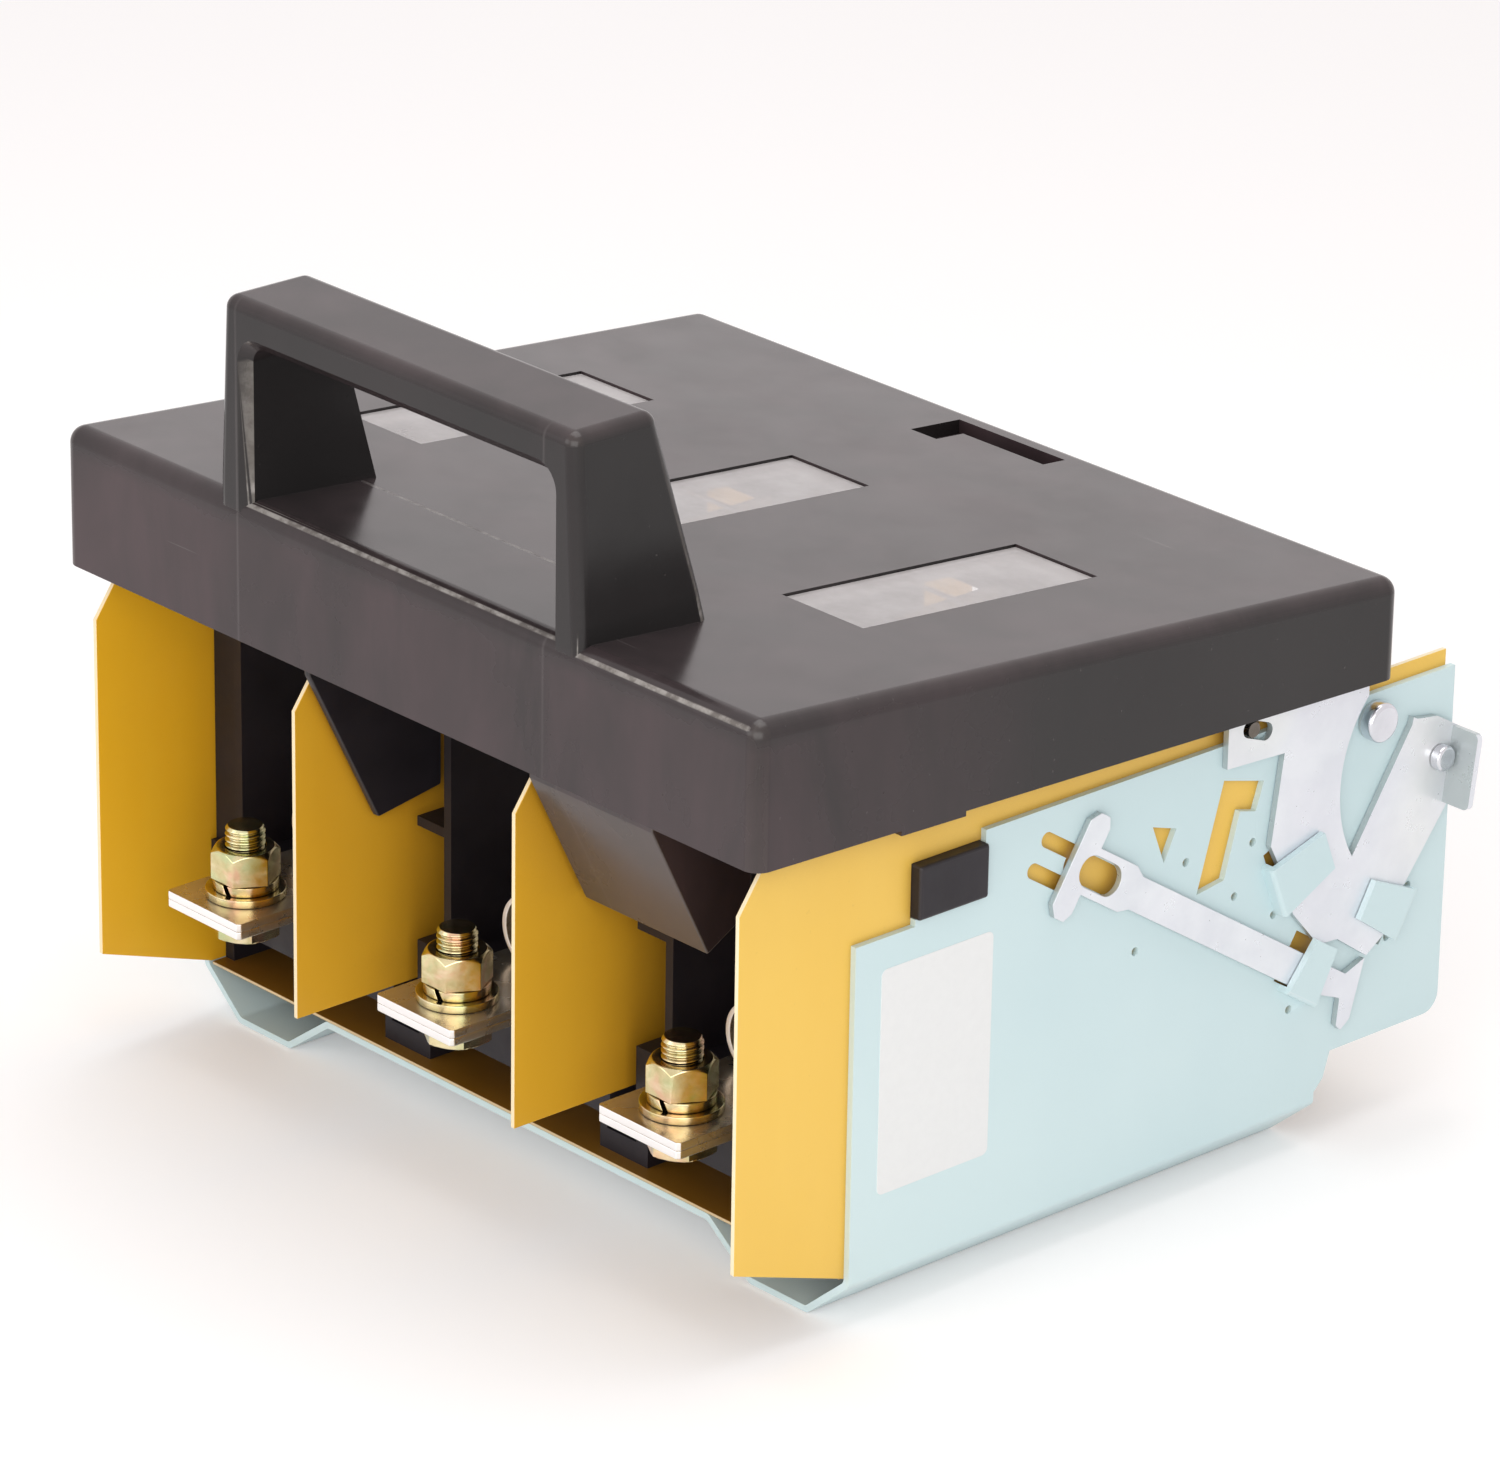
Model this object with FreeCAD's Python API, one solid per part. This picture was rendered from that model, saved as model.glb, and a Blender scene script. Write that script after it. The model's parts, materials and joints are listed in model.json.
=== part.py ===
"""Three-pole fuse switch disconnector: a folded steel base with black pole bases, and a hinged
cover with a moulded handle that carries the three blade fuses.

Frame: millimetres, +Z up, front (handle side) at -Y, hinge side at +Y, poles side by side along X.
The origin is the centre of the four mounting holes, on the plane that the base stands on.
"""
import FreeCAD, Part
import math
import os

V = FreeCAD.Vector

# Base and poles
pole_pitch = 96.0
base_depth = 184.0
side_room = 46.5           # from an outer pole's centre to the outside of the side plate
sheet = 2.0
floor_top = 15.0
channel_shift = 18.0       # from an outer pole's centre to the middle of the channel below it
channel_bottom = 24.0
channel_slope = 18.0
bend_radius = 2.5
mount_spacing = 76.0
mount_hole = 9.0
insulation = 1.0
access_hole = 18.0

# Side plates
side_top = 138.0
side_front_top = 116.5
side_back_reach = 51.3     # past the rear edge of the floor
side_back_low = 29.0
stop_start = 22.0          # stopper block, from the front edge of the base
stop_length = 26.0
stop_seat = 118.5
stop_height = 16.0
stop_depth = 8.5
stop_proud = 2.0

# Barrier sheets
barrier = 1.5
barrier_reach = 41.0       # past the front and rear edges of the floor
barrier_low = 41.0
barrier_top = 158.0
barrier_chamfer_z = 136.5
barrier_chamfer = 0.7      # run of the front chamfer for each mm of its height
barrier_back_top = 126.0
side_sheet_back_top = 143.0

# Pole bases
fit_gap = 0.3
pole_half = 42.5
pedestal_top = 53.5
pedestal_depth = 48.0
deck_low = 30.0
lip_depth = 20.0
foot_set = 5.0
foot_end = 4.0             # narrow foot at the far left
foot_width = 20.5
foot_notch_low = 6.5       # above the insulation sheet
foot_notch_height = 5.0
foot_notch_depth = 4.0
cheek_rise = 2.5
chimney_half = 30.5
chimney_wall = 3.1
chimney_depth = 35.0
chimney_top = 141.0
lintel_low = 133.0
lintel_depth = 4.0
lintel_round = 4.0
end_cheek_width = 12.0
end_cheek_depth = 3.0
end_cheek_set = 2.0
ledge_z = 92.0
ledge_thickness = 3.0
ledge_depth = 10.0

# Terminals and contact jaws
strap_width = 33.8
strap_reach = 37.0
strap_thickness = 2.5
bolt_set = 20.7            # terminal bolt, in front of the floor's edge
bolt_diameter = 12.0
bolt_hole = 13.0
hex_flats = 18.0
head_height = 7.5
washer_diameter = 24.0
washer_thickness = 2.5
spring_washer_diameter = 19.5
spring_washer_thickness = 3.0
nut_height = 10.0
thread_over_nut = 6.5
jaw_start = 8.0
jaw_length = 29.0
jaw_bulge = 9.0
jaw_neck = 21.5            # height of the contact line above the strap
jaw_flare = 8.0
leaf = 1.9

# Fuse links
fuse_body_length = 74.0
fuse_body_width = 70.0
fuse_body_height = 74.0
fuse_length = 150.0
fuse_low = 66.0
blade_thickness = 6.0
blade_height = 32.0
blade_rise = 4.0           # blade's lower edge above the body's underside
end_plate = 2.5
lug_neck = 20.0
lug_head = 30.0
lug_rise = 12.0
lug_thick = 4.0
clip_length = 9.5
clip_side = 13.0           # clip's width beyond the lug's head, each side

# Cover
cover_overhang = 7.0       # each side, past the outer face of the side plate
cover_front = 43.7         # in front of the floor's front edge
cover_behind = 19.2        # behind the floor's rear edge
cover_wall = 3.6
cover_top_back = 175.1
cover_slope = 4.68
rim_front = 152.3
rim_back = 144.6
back_wall_rim = 150.0
cover_round = 5.0
lip_start = 9.3
lip_length = 24.0
lip_drop = 1.5
window_width = 33.0
window_length = 90.0
window_shift = -11.2
window_pitch = 94.0
window_offset = -5.9       # middle window from the middle pole, along X
window_gap = 0.2
window_sink = 0.8          # the clear skin lies a little below the cover's face
window_skin = 1.2
window_under = 1.5         # how far the insert stands below the cover's inner face
window_lug = 1.6
slot_x0 = -24.0
slot_width = 45.0
slot_length = 20.0
slot_deep = 4.5
slot_set = 8.2             # rear slot, from the rear edge of the cover
slot_leg = 9.0

# Handle
handle_leg = 13.0          # each side of the opening
handle_taper = 3.0
handle_rise = 59.7         # above the front top edge of the cover
handle_top_depth = 30.0
handle_foot_depth = 48.0
grip_width = 130.0
grip_height = 46.0
grip_flare = 3.2           # the opening widens towards its front
handle_round = 4.0

# Arc shields under the cover
shield_low = 98.0
shield_thickness = 2.5
prism_width = 51.0
prism_low = 106.0

# Hinge, lever and link bar on the right side plate
hinge_back = 17.0          # behind the rear edge of the floor
hinge_z = 130.3
hinge_bolt = 6.0
hinge_head = 12.0
hinge_head_height = 4.2
hinge_washer = 11.6
hinge_lug = 4.2
hinge_lug_radius = 9.0
running_gap = 0.06
cover_open = 70.0
pivot_back = 26.8          # lever pivot behind and below the hinge
pivot_drop = 18.1
pivot_pin = 4.8
rivet_head = 7.8
rivet_head_height = 3.0
pin_front = 51.4           # drive pin in front of and above the hinge
pin_rise = 11.0
drive_pin = 4.6
pin_slot_gap = 0.4
lever_sheet = 2.0
flange_reach = 12.4
link_angle = 32.7          # slope of the link bar, downwards to the rear
link_width = 10.2
link_head = 32.0
tab_gap = 3.0

# Derived places
FRONT = -base_depth / 2
BACK = base_depth / 2
HALF = pole_pitch + side_room
DECK = floor_top + insulation
SHEET_IN = HALF - sheet
SIDE_SHEET = SHEET_IN - barrier
STRAP_TOP = pedestal_top + 2 * strap_thickness
WASHER_TOP = STRAP_TOP + washer_thickness
NUT_LOW = WASHER_TOP + spring_washer_thickness
NUT_TOP = NUT_LOW + nut_height
FUSE_TOP = fuse_low + fuse_body_height
COVER_F = FRONT - cover_front
COVER_B = BACK + cover_behind
cover_depth = COVER_B - COVER_F
cover_width = 2 * (HALF + cover_overhang)
handle_width = grip_width + 2 * handle_leg
HINGE = V(0, BACK + hinge_back, hinge_z)
PIVOT = V(0, HINGE.y + pivot_back, HINGE.z - pivot_drop)
PIN = V(0, HINGE.y - pin_front, HINGE.z + pin_rise)
LEVER_IN = HALF + fit_gap
LEVER_OUT = LEVER_IN + lever_sheet
STRAP_OUT = LEVER_OUT + fit_gap
POLES = [-pole_pitch, 0.0, pole_pitch]


def box(x0, x1, y0, y1, z0, z1):
    return Part.makeBox(x1 - x0, y1 - y0, z1 - z0, V(x0, y0, z0))


def prism_x(points, x0, x1):
    """Extrude an outline of (y, z) points along X."""
    face = Part.Face(Part.makePolygon([V(x0, y, z) for y, z in points + points[:1]]))
    return face.extrude(V(x1 - x0, 0, 0))


def prism_y(points, y0, y1):
    """Extrude an outline of (x, z) points along Y."""
    face = Part.Face(Part.makePolygon([V(x, y0, z) for x, z in points + points[:1]]))
    return face.extrude(V(0, y1 - y0, 0))


def rod_x(center, radius, x0, x1):
    return Part.makeCylinder(radius, x1 - x0, V(x0, center.y, center.z), V(1, 0, 0))


def rod_z(x, y, radius, z0, z1):
    return Part.makeCylinder(radius, z1 - z0, V(x, y, z0), V(0, 0, 1))


def hexagon(flats, origin, axis, height, chamfered=True):
    """A hexagonal prism, its outer corners chamfered unless it is hidden."""
    corner = flats / math.sqrt(3)
    ring = [V(corner * math.cos(math.radians(60 * i)), corner * math.sin(math.radians(60 * i)), 0)
            for i in range(7)]
    prism = Part.Face(Part.makePolygon(ring)).extrude(V(0, 0, height))
    if chamfered:
        drop = (corner - flats / 2) * 0.6
        cone = Part.makeCone(corner + height * 2 - drop, flats / 2 - drop / 2, height * 2 + drop,
                             V(0, 0, -height - drop))
        prism = prism.common(cone)
    prism.Placement = FreeCAD.Placement(origin, FreeCAD.Rotation(V(0, 0, 1), axis))
    return prism


def fillet_where(shape, radius, wanted):
    """Round the edges that a test picks."""
    edges = [e for e in shape.Edges if wanted(e)]
    return shape.makeFillet(radius, edges) if edges else shape


def along(edge, axis):
    d = edge.Vertexes[-1].Point - edge.Vertexes[0].Point
    return len(edge.Vertexes) == 2 and abs(abs(d.normalize().dot(axis)) - 1) < 1e-6


def mirror_x(shape):
    return shape.mirror(V(0, 0, 0), V(1, 0, 0))


def mirror_y(shape):
    return shape.mirror(V(0, 0, 0), V(0, 1, 0))


def slot_x(center, direction, length, width, x0, x1):
    """A round-ended slot through a plate, cut along X. The direction is (y, z)."""
    u = V(0, direction[0], direction[1])
    u.normalize()
    n = V(0, -u.z, u.y)
    half = u * ((length - width) / 2)
    side = n * (width / 2)
    corners = [center + half + side, center - half + side, center - half - side, center + half - side]
    body = prism_x([(p.y, p.z) for p in corners], x0, x1)
    for end in (center + half, center - half):
        body = body.fuse(rod_x(end, width / 2, x0, x1))
    return body.removeSplitter()


def cover_top(y):
    return cover_top_back + (COVER_B - y) * math.tan(math.radians(cover_slope))


def cover_inner(y):
    return cover_top(y) - cover_wall


def rim(y):
    return rim_back + (rim_front - rim_back) * (COVER_B - y) / cover_depth


def thicken(points, t):
    """Offset an open outline of (x, z) points to its left by t, and close it."""
    count = len(points)
    offset = []
    for i in range(count):
        normals = []
        for a, b in ((i - 1, i), (i, i + 1)):
            if a >= 0 and b < count:
                dx = points[b][0] - points[a][0]
                dz = points[b][1] - points[a][1]
                size = math.hypot(dx, dz)
                normals.append((-dz / size, dx / size))
        n0, n1 = normals[0], normals[-1]
        scale = t / (1 + n0[0] * n1[0] + n0[1] * n1[1])
        offset.append((points[i][0] + (n0[0] + n1[0]) * scale, points[i][1] + (n0[1] + n1[1]) * scale))
    return points + offset[::-1]


# Folded base

def channel_points():
    """Underside of the folded floor, from its middle to the foot of the right side plate."""
    mid = pole_pitch + channel_shift
    half = channel_bottom / 2
    floor_low = floor_top - sheet
    return [(0.0, floor_low), (mid - half - channel_slope, floor_low), (mid - half, 0.0),
            (mid + half, 0.0), (HALF, floor_low + sheet / 2), (HALF, floor_top + 2 * bend_radius)]


def folded_floor():
    right = channel_points()
    left = [(-x, z) for x, z in right[:0:-1]]
    body = prism_y(thicken(left + right[1:], sheet), FRONT, BACK)
    inner = fillet_where(body, bend_radius, lambda e: along(e, V(0, 1, 0)) and is_bend(e, right, left))
    return inner


def is_bend(edge, right, left):
    """True for the fold edges: all edges along Y apart from the sheet's two cut ends."""
    p = edge.Vertexes[0].Point
    return abs(p.z - (floor_top + 2 * bend_radius)) > 0.5


def side_outline():
    stop_end = stop_start + stop_length
    rear = BACK + side_back_reach
    return [(FRONT, floor_top + bend_radius), (FRONT, side_front_top),
            (FRONT + stop_start, side_front_top), (FRONT + stop_start, stop_seat),
            (FRONT + stop_end, stop_seat), (FRONT + stop_end, side_top), (rear, side_top),
            (rear, side_back_low), (BACK + 6, side_back_low), (BACK + 3.5, side_back_low - 8),
            (BACK, floor_top + bend_radius)]


def side_plate():
    plate = prism_x(side_outline(), SHEET_IN, HALF)
    rear = BACK + side_back_reach
    lower = fillet_where(plate, 6.0, lambda e: along(e, V(1, 0, 0))
                         and abs(e.Vertexes[0].Point.y - rear) < 0.1
                         and abs(e.Vertexes[0].Point.z - side_back_low) < 0.1)
    return lower.cut(rod_x(HINGE, hinge_bolt / 2 + 0.1, SHEET_IN - 1, HALF + 1))


LINK_U = V(0, math.cos(math.radians(link_angle)), -math.sin(math.radians(link_angle)))
LINK_N = V(0, math.sin(math.radians(link_angle)), math.cos(math.radians(link_angle)))
link_before_pivot = 144.7   # head of the link bar, from the lever's pivot
link_above_pivot = 5.6
LINK_O = V(0, PIVOT.y - link_before_pivot, PIVOT.z + link_above_pivot)


def on_link(along_bar, across):
    """A point beside the side plate, measured along and across the link bar from its head."""
    p = LINK_O + LINK_U * along_bar + LINK_N * across
    return (p.y, p.z)


def window_cuts():
    """The openings punched in the right side plate."""
    x0, x1 = SHEET_IN - 1, HALF + 1
    cuts = []
    top_z = PIN.z - 14.0
    front = PIN.y - 8.6
    hook = [(front, top_z), (front + 16.3, top_z - 4.4), (front + 13.4, top_z - 13.0),
            (front + 7.0, top_z - 11.3), (front + 1.6, top_z - 31.0), (front - 9.4, top_z - 32.5)]
    cuts.append(prism_x(hook, x0, x1))
    small = [(front - 28.0, top_z - 6.5), (front - 18.5, top_z - 9.5), (front - 23.0, top_z - 19.0)]
    cuts.append(prism_x(small, x0, x1))
    for across in (2.8, -6.7):
        mid = V(0, *on_link(-7.2, across))
        cuts.append(slot_x(mid, (LINK_U.y, LINK_U.z), 21.0, 4.6, x0, x1))
    oval = V(0, *on_link(8.0, 0.0))
    cuts.append(slot_x(oval, (LINK_U.y, LINK_U.z), 26.0, 9.0, x0, x1))
    for tab in tab_places():
        cuts.append(tab_window(*tab))
    for y, z in relief_holes():
        cuts.append(rod_x(V(0, y, z), 1.3, x0, x1))
    cuts.append(rod_x(PIVOT, pivot_pin / 2 + running_gap, x0, x1))
    return cuts


def tab_places():
    """The root line and reach of each tab: two over the lever, one over the link bar."""
    p = PIVOT
    low = -link_width / 2 - 2 * fit_gap - sheet
    front = ((p.y - 70.2, p.z - 16.2), (p.y - 63.8, p.z - 32.2), 22.0)
    back = ((p.y - 16.0, p.z - 53.3), (p.y - 8.1, p.z - 39.2), 20.0)
    bar = (on_link(104.0, low), on_link(118.0, low), 18.0)
    return [front, back, bar]


def tab_frame(root_a, root_b):
    a = V(0, *root_a)
    b = V(0, *root_b)
    u = (b - a)
    u.normalize()
    return a, b, u, V(0, -u.z, u.y)


def tab_window(root_a, root_b, reach):
    """The opening that a bent tab leaves in the plate."""
    a, b, u, n = tab_frame(root_a, root_b)
    a = a - u * tab_gap
    ring = [a + n * sheet, b + n * sheet, b + n * reach, a + n * reach]
    return prism_x([(p.y, p.z) for p in ring], SHEET_IN - 1, HALF + 1)


def relief_holes():
    """Small round holes at the ends of the bent tabs, measured from the lever's pivot."""
    offsets = [(-74.1, -7.3), (-80.7, -22.2), (-64.2, -32.5), (-8.1, -39.2), (-16.0, -53.3),
               (-101.0, -6.0), (-120.1, -27.9), (-56.1, -64.7)]
    return [(PIVOT.y + dy, PIVOT.z + dz) for dy, dz in offsets]


def hook_tab(root_a, root_b, reach):
    """A tab bent out of the side plate: a wall along its root, and a strap over the moving plate."""
    a, b, u, n = tab_frame(root_a, root_b)
    wall = [a, b, b + n * sheet, a + n * sheet]
    strap = [a, b, b + n * reach - u * 2.0, a + n * reach + u * 2.0]
    wall_solid = prism_x([(p.y, p.z) for p in wall], SHEET_IN, STRAP_OUT + sheet)
    strap_solid = prism_x([(p.y, p.z) for p in strap], STRAP_OUT, STRAP_OUT + sheet)
    body = wall_solid.fuse(strap_solid).removeSplitter()
    return body.makeFillet(sheet * 0.7, [e for e in body.Edges if is_tab_bend(e, a, u)])


def is_tab_bend(edge, a, u):
    """The outer edge of the tab's bend, along its root."""
    p = edge.CenterOfMass
    d = V(0, p.y - a.y, p.z - a.z)
    return along(edge, u) and p.x > STRAP_OUT + sheet - 0.01 and abs(d.cross(u).x) < 0.01


def base_frame():
    right = side_plate()
    left = mirror_x(right)
    for cut in window_cuts():
        right = right.cut(cut)
    for tab in tab_places():
        right = right.fuse(hook_tab(*tab))
    body = folded_floor().fuse([right, left]).removeSplitter()
    mid = pole_pitch + channel_shift
    for x in (-mid, mid):
        for y in (-mount_spacing / 2, mount_spacing / 2):
            body = body.cut(rod_z(x, y, mount_hole / 2, -1, sheet + 1))
    for x, y in screw_places():
        body = body.cut(rod_z(x, y, screw_diameter / 2 + 0.15, floor_top - sheet - 1, floor_top + 1))
    return body


def base_insulation():
    width = SIDE_SHEET - fit_gap
    sheet_body = box(-width, width, FRONT, BACK, floor_top, DECK)
    mid = pole_pitch + channel_shift
    for x in (-mid, mid):
        for y in (-mount_spacing / 2, mount_spacing / 2):
            sheet_body = sheet_body.cut(rod_z(x, y, access_hole / 2, floor_top - 1, DECK + 1))
    for x, y in screw_places():
        sheet_body = sheet_body.cut(rod_z(x, y, screw_diameter / 2 + 0.15, floor_top - 1, DECK + 1))
    return sheet_body


# Barrier sheets

def pole_barrier(x):
    reach_f = FRONT - barrier_reach
    reach_b = BACK + barrier_reach
    slope = (barrier_top - barrier_chamfer_z) * barrier_chamfer
    foot_back = lip_depth + fit_gap
    outline = [(reach_f, barrier_low), (FRONT + foot_back, barrier_low), (FRONT + foot_back, DECK),
               (BACK - foot_back, DECK), (BACK - foot_back, barrier_low), (reach_b, barrier_low),
               (reach_b, barrier_back_top - 10),
               (reach_b - 7, barrier_back_top), (BACK + 2, barrier_back_top),
               (BACK + 2, barrier_top), (reach_f + slope, barrier_top), (reach_f, barrier_chamfer_z)]
    return prism_x(outline, x - barrier / 2, x + barrier / 2)


def side_barrier():
    reach_f = FRONT - barrier_reach
    reach_b = BACK + side_back_reach - 2
    slope = (barrier_top - barrier_chamfer_z) * barrier_chamfer
    low = DECK
    outline = [(reach_f, low + 14), (FRONT, low), (BACK, low), (BACK + 6, side_back_low + 2),
               (reach_b, side_back_low + 2), (reach_b, side_sheet_back_top),
               (PIN.y - 12, side_sheet_back_top), (PIN.y - 17, barrier_top),
               (reach_f + slope, barrier_top), (reach_f, barrier_chamfer_z)]
    body = prism_x(outline, SIDE_SHEET, SHEET_IN)
    y0 = FRONT + stop_start
    body = body.cut(box(SIDE_SHEET - 1, SHEET_IN + 1, y0, y0 + stop_length, stop_seat,
                        stop_seat + stop_height))
    return body.cut(rod_x(HINGE, hinge_bolt / 2 + 0.1, SIDE_SHEET - 1, SHEET_IN + 1))


def right_side_barrier():
    """The right sheet also has a notch for the drive pin and a hole for the lever's rivet."""
    notch = box(SIDE_SHEET - 1, SHEET_IN + 1, PIN.y - drive_pin / 2 - 1.2, PIN.y + drive_pin / 2 + 4.5,
                PIN.z - drive_pin / 2 - 0.8, side_sheet_back_top + 1)
    body = side_barrier().cut(notch)
    return body.cut(rod_x(PIVOT, rivet_head / 2 + 0.2, SIDE_SHEET - 1, SHEET_IN + 1))


def stopper_block():
    y0 = FRONT + stop_start
    x1 = HALF + stop_proud
    body = box(x1 - stop_depth, x1, y0, y0 + stop_length, stop_seat, stop_seat + stop_height)
    return body.makeFillet(1.2, [e for e in body.Edges if e.CenterOfMass.x > x1 - 0.1])


# Pole bases

screw_diameter = 5.0
screw_grip = 10.0          # length of the blind screw holes above the insulation
screw_head_flats = 8.0
screw_head_height = 3.5


def screw_places():
    """Screws that hold the pole bases, two to a base, all between the channels."""
    outer = pole_pitch - pole_half + 8
    xs = [-outer - 14, -outer, -24.0, 24.0, outer, outer + 14]
    y = BACK - (lip_depth + pedestal_depth) / 2
    return [(x, side * y) for side in (-1, 1) for x in xs]


def pole_base(pole):
    """Front pole base of one pole: pedestal, front feet, and the chimney round the contact jaw."""
    half = pole_half
    cheek_in = strap_width / 2 + fit_gap
    rear = FRONT + pedestal_depth
    body = box(-half, half, FRONT + lip_depth, rear, DECK, deck_low)
    body = body.fuse(box(-half, half, FRONT, rear, deck_low, pedestal_top))
    body = body.fuse(front_foot(pole))
    if pole < 0:
        body = body.fuse(box(-half, -half + foot_end, FRONT + foot_set, FRONT + lip_depth, DECK, deck_low))
    for side in (-1, 1):
        cheek = sorted((side * cheek_in, side * half))
        body = body.fuse(box(cheek[0], cheek[1], FRONT, rear, pedestal_top, pedestal_top + cheek_rise))
        wall = sorted((side * (chimney_half - chimney_wall), side * chimney_half))
        body = body.fuse(box(wall[0], wall[1], FRONT, FRONT + chimney_depth, pedestal_top, chimney_top))
    if pole >= 0:
        body = body.fuse(box(-half, -chimney_half, FRONT, FRONT + ledge_depth, ledge_z,
                             ledge_z + ledge_thickness))
    if pole:
        edge = sorted((math.copysign(half - end_cheek_width, pole), math.copysign(half, pole)))
        y0 = FRONT + end_cheek_set
        body = body.fuse(box(edge[0], edge[1], y0, y0 + end_cheek_depth, pedestal_top, chimney_top))
    body = body.fuse(lintel()).removeSplitter()
    for x, y in screw_places():
        if y < 0 and abs(x - pole) < half:
            body = body.cut(rod_z(x - pole, y, screw_diameter / 2, DECK - 1, DECK + screw_grip))
    body.translate(V(pole, 0, 0))
    return body


def front_foot(pole):
    """Foot at the right of a base; between two poles it reaches across to the next base."""
    right = pole_half
    if pole <= 0:
        right = pole_pitch - pole_half - fit_gap
    left = right - foot_width
    y0 = FRONT + foot_set
    foot = box(left, right, y0, FRONT + lip_depth, DECK, deck_low)
    low = DECK + foot_notch_low
    return foot.cut(box(left + 3, right - 5, y0 - 1, y0 + foot_notch_depth, low, low + foot_notch_height))


def lintel():
    """The bar across the top of the chimney's front, with rounded inner corners."""
    inner = chimney_half - chimney_wall
    y1 = FRONT + lintel_depth
    bar = box(-chimney_half, chimney_half, FRONT, y1, lintel_low - lintel_round, chimney_top)
    hole = box(-inner, inner, FRONT - 1, y1 + 1, lintel_low - 3 * lintel_round, lintel_low)
    hole = fillet_where(hole, lintel_round, lambda e: along(e, V(0, 1, 0)) and e.CenterOfMass.z > lintel_low - 1)
    return bar.cut(hole)


# Terminals

def strap(z0, pole):
    y0 = FRONT - strap_reach
    y1 = FRONT + pedestal_depth - 1
    half = strap_width / 2
    body = box(-half, half, y0, y1, z0, z0 + strap_thickness)
    body = body.makeChamfer(1.0, [e for e in body.Edges if along(e, V(0, 0, 1)) and e.CenterOfMass.y < y0 + 1])
    return body.cut(rod_z(0, FRONT - bolt_set, bolt_hole / 2, z0 - 1, z0 + strap_thickness + 1))


def terminal_plate(pole):
    body = strap(pedestal_top, pole)
    body.translate(V(pole, 0, 0))
    return body


def jaw_leaf():
    """One curved leaf of the lyre contact: it bulges out and comes back to grip the blade."""
    grip = blade_thickness / 2 + fit_gap
    z0 = STRAP_TOP
    z1 = STRAP_TOP + jaw_neck
    zm = (z0 + z1) / 2
    y0 = FRONT + jaw_start
    inner = Part.Arc(V(grip, y0, z1), V(grip + jaw_bulge, y0, zm), V(grip, y0, z0 - 0.5)).toShape()
    outer = Part.Arc(V(grip + leaf, y0, z0 - 0.5), V(grip + jaw_bulge + leaf, y0, zm),
                     V(grip + leaf, y0, z1)).toShape()
    foot = Part.makeLine(V(grip, y0, z0 - 0.5), V(grip + leaf, y0, z0 - 0.5))
    tip = z1 + jaw_flare
    flare = [V(grip + leaf, y0, z1), V(grip + leaf + 2.6, y0, tip), V(grip + 2.6, y0, tip), V(grip, y0, z1)]
    wire = Part.Wire(Part.__sortEdges__([inner, foot, outer] + Part.makePolygon(flare).Edges))
    return Part.Face(wire).extrude(V(0, jaw_length, 0))


def contact_jaw(pole):
    body = strap(pedestal_top + strap_thickness, pole)
    right = jaw_leaf()
    body = body.fuse([right, mirror_x(right)]).removeSplitter()
    body.translate(V(pole, 0, 0))
    return body


def terminal_places():
    y = FRONT - bolt_set
    return [(x, s * y) for s in (1, -1) for x in POLES]


def terminal_bolts():
    parts = []
    for x, y in terminal_places():
        head = hexagon(hex_flats, V(x, y, pedestal_top), V(0, 0, -1), head_height)
        shank = rod_z(x, y, bolt_diameter / 2, pedestal_top, NUT_TOP + thread_over_nut)
        end = [e for e in shank.Edges if e.CenterOfMass.z > NUT_TOP and e.Curve.TypeId == "Part::GeomCircle"]
        parts.append(head.fuse(shank.makeChamfer(0.9, end)))
    return Part.makeCompound(parts)


def terminal_nuts():
    parts = []
    for x, y in terminal_places():
        nut = hexagon(hex_flats, V(x, y, NUT_LOW), V(0, 0, 1), nut_height)
        parts.append(nut.cut(rod_z(x, y, bolt_diameter / 2 + running_gap, NUT_LOW - 1, NUT_TOP + 1)))
    return Part.makeCompound(parts)


def ring(x, y, outer, inner, z0, z1):
    return rod_z(x, y, outer / 2, z0, z1).cut(rod_z(x, y, inner / 2, z0 - 1, z1 + 1))


def flat_washers():
    return Part.makeCompound([ring(x, y, washer_diameter, bolt_hole, STRAP_TOP, WASHER_TOP)
                              for x, y in terminal_places()])


def spring_washers():
    parts = []
    for x, y in terminal_places():
        body = ring(x, y, spring_washer_diameter, bolt_diameter + 0.6, WASHER_TOP, NUT_LOW)
        gap = box(0, spring_washer_diameter, -0.7, 0.7, -1, spring_washer_thickness + 1)
        gap.rotate(V(0, 0, 0), V(1, 0, 0), 25)
        gap.rotate(V(0, 0, 0), V(0, 0, 1), -70)
        gap.translate(V(x, y, WASHER_TOP))
        parts.append(body.cut(gap))
    return Part.makeCompound(parts)


def base_screws():
    parts = []
    for x, y in screw_places():
        head = hexagon(screw_head_flats, V(x, y, floor_top - sheet), V(0, 0, -1), screw_head_height, False)
        parts.append(head.fuse(rod_z(x, y, screw_diameter / 2 - 0.05, floor_top - sheet, DECK + screw_grip - 1)))
    return Part.makeCompound(parts)


# Cover

def cover_block(inset, rise):
    """The wedge of the cover, or its hollow when inset by the wall."""
    f = COVER_F + inset
    b = COVER_B - inset
    half = cover_width / 2 - inset
    low = [(f, rim(f) - rise), (b, rim(b) - rise)]
    high = [(b, cover_top(b) - inset), (f, cover_top(f) - inset)]
    return prism_x(low + high, -half, half)


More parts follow.
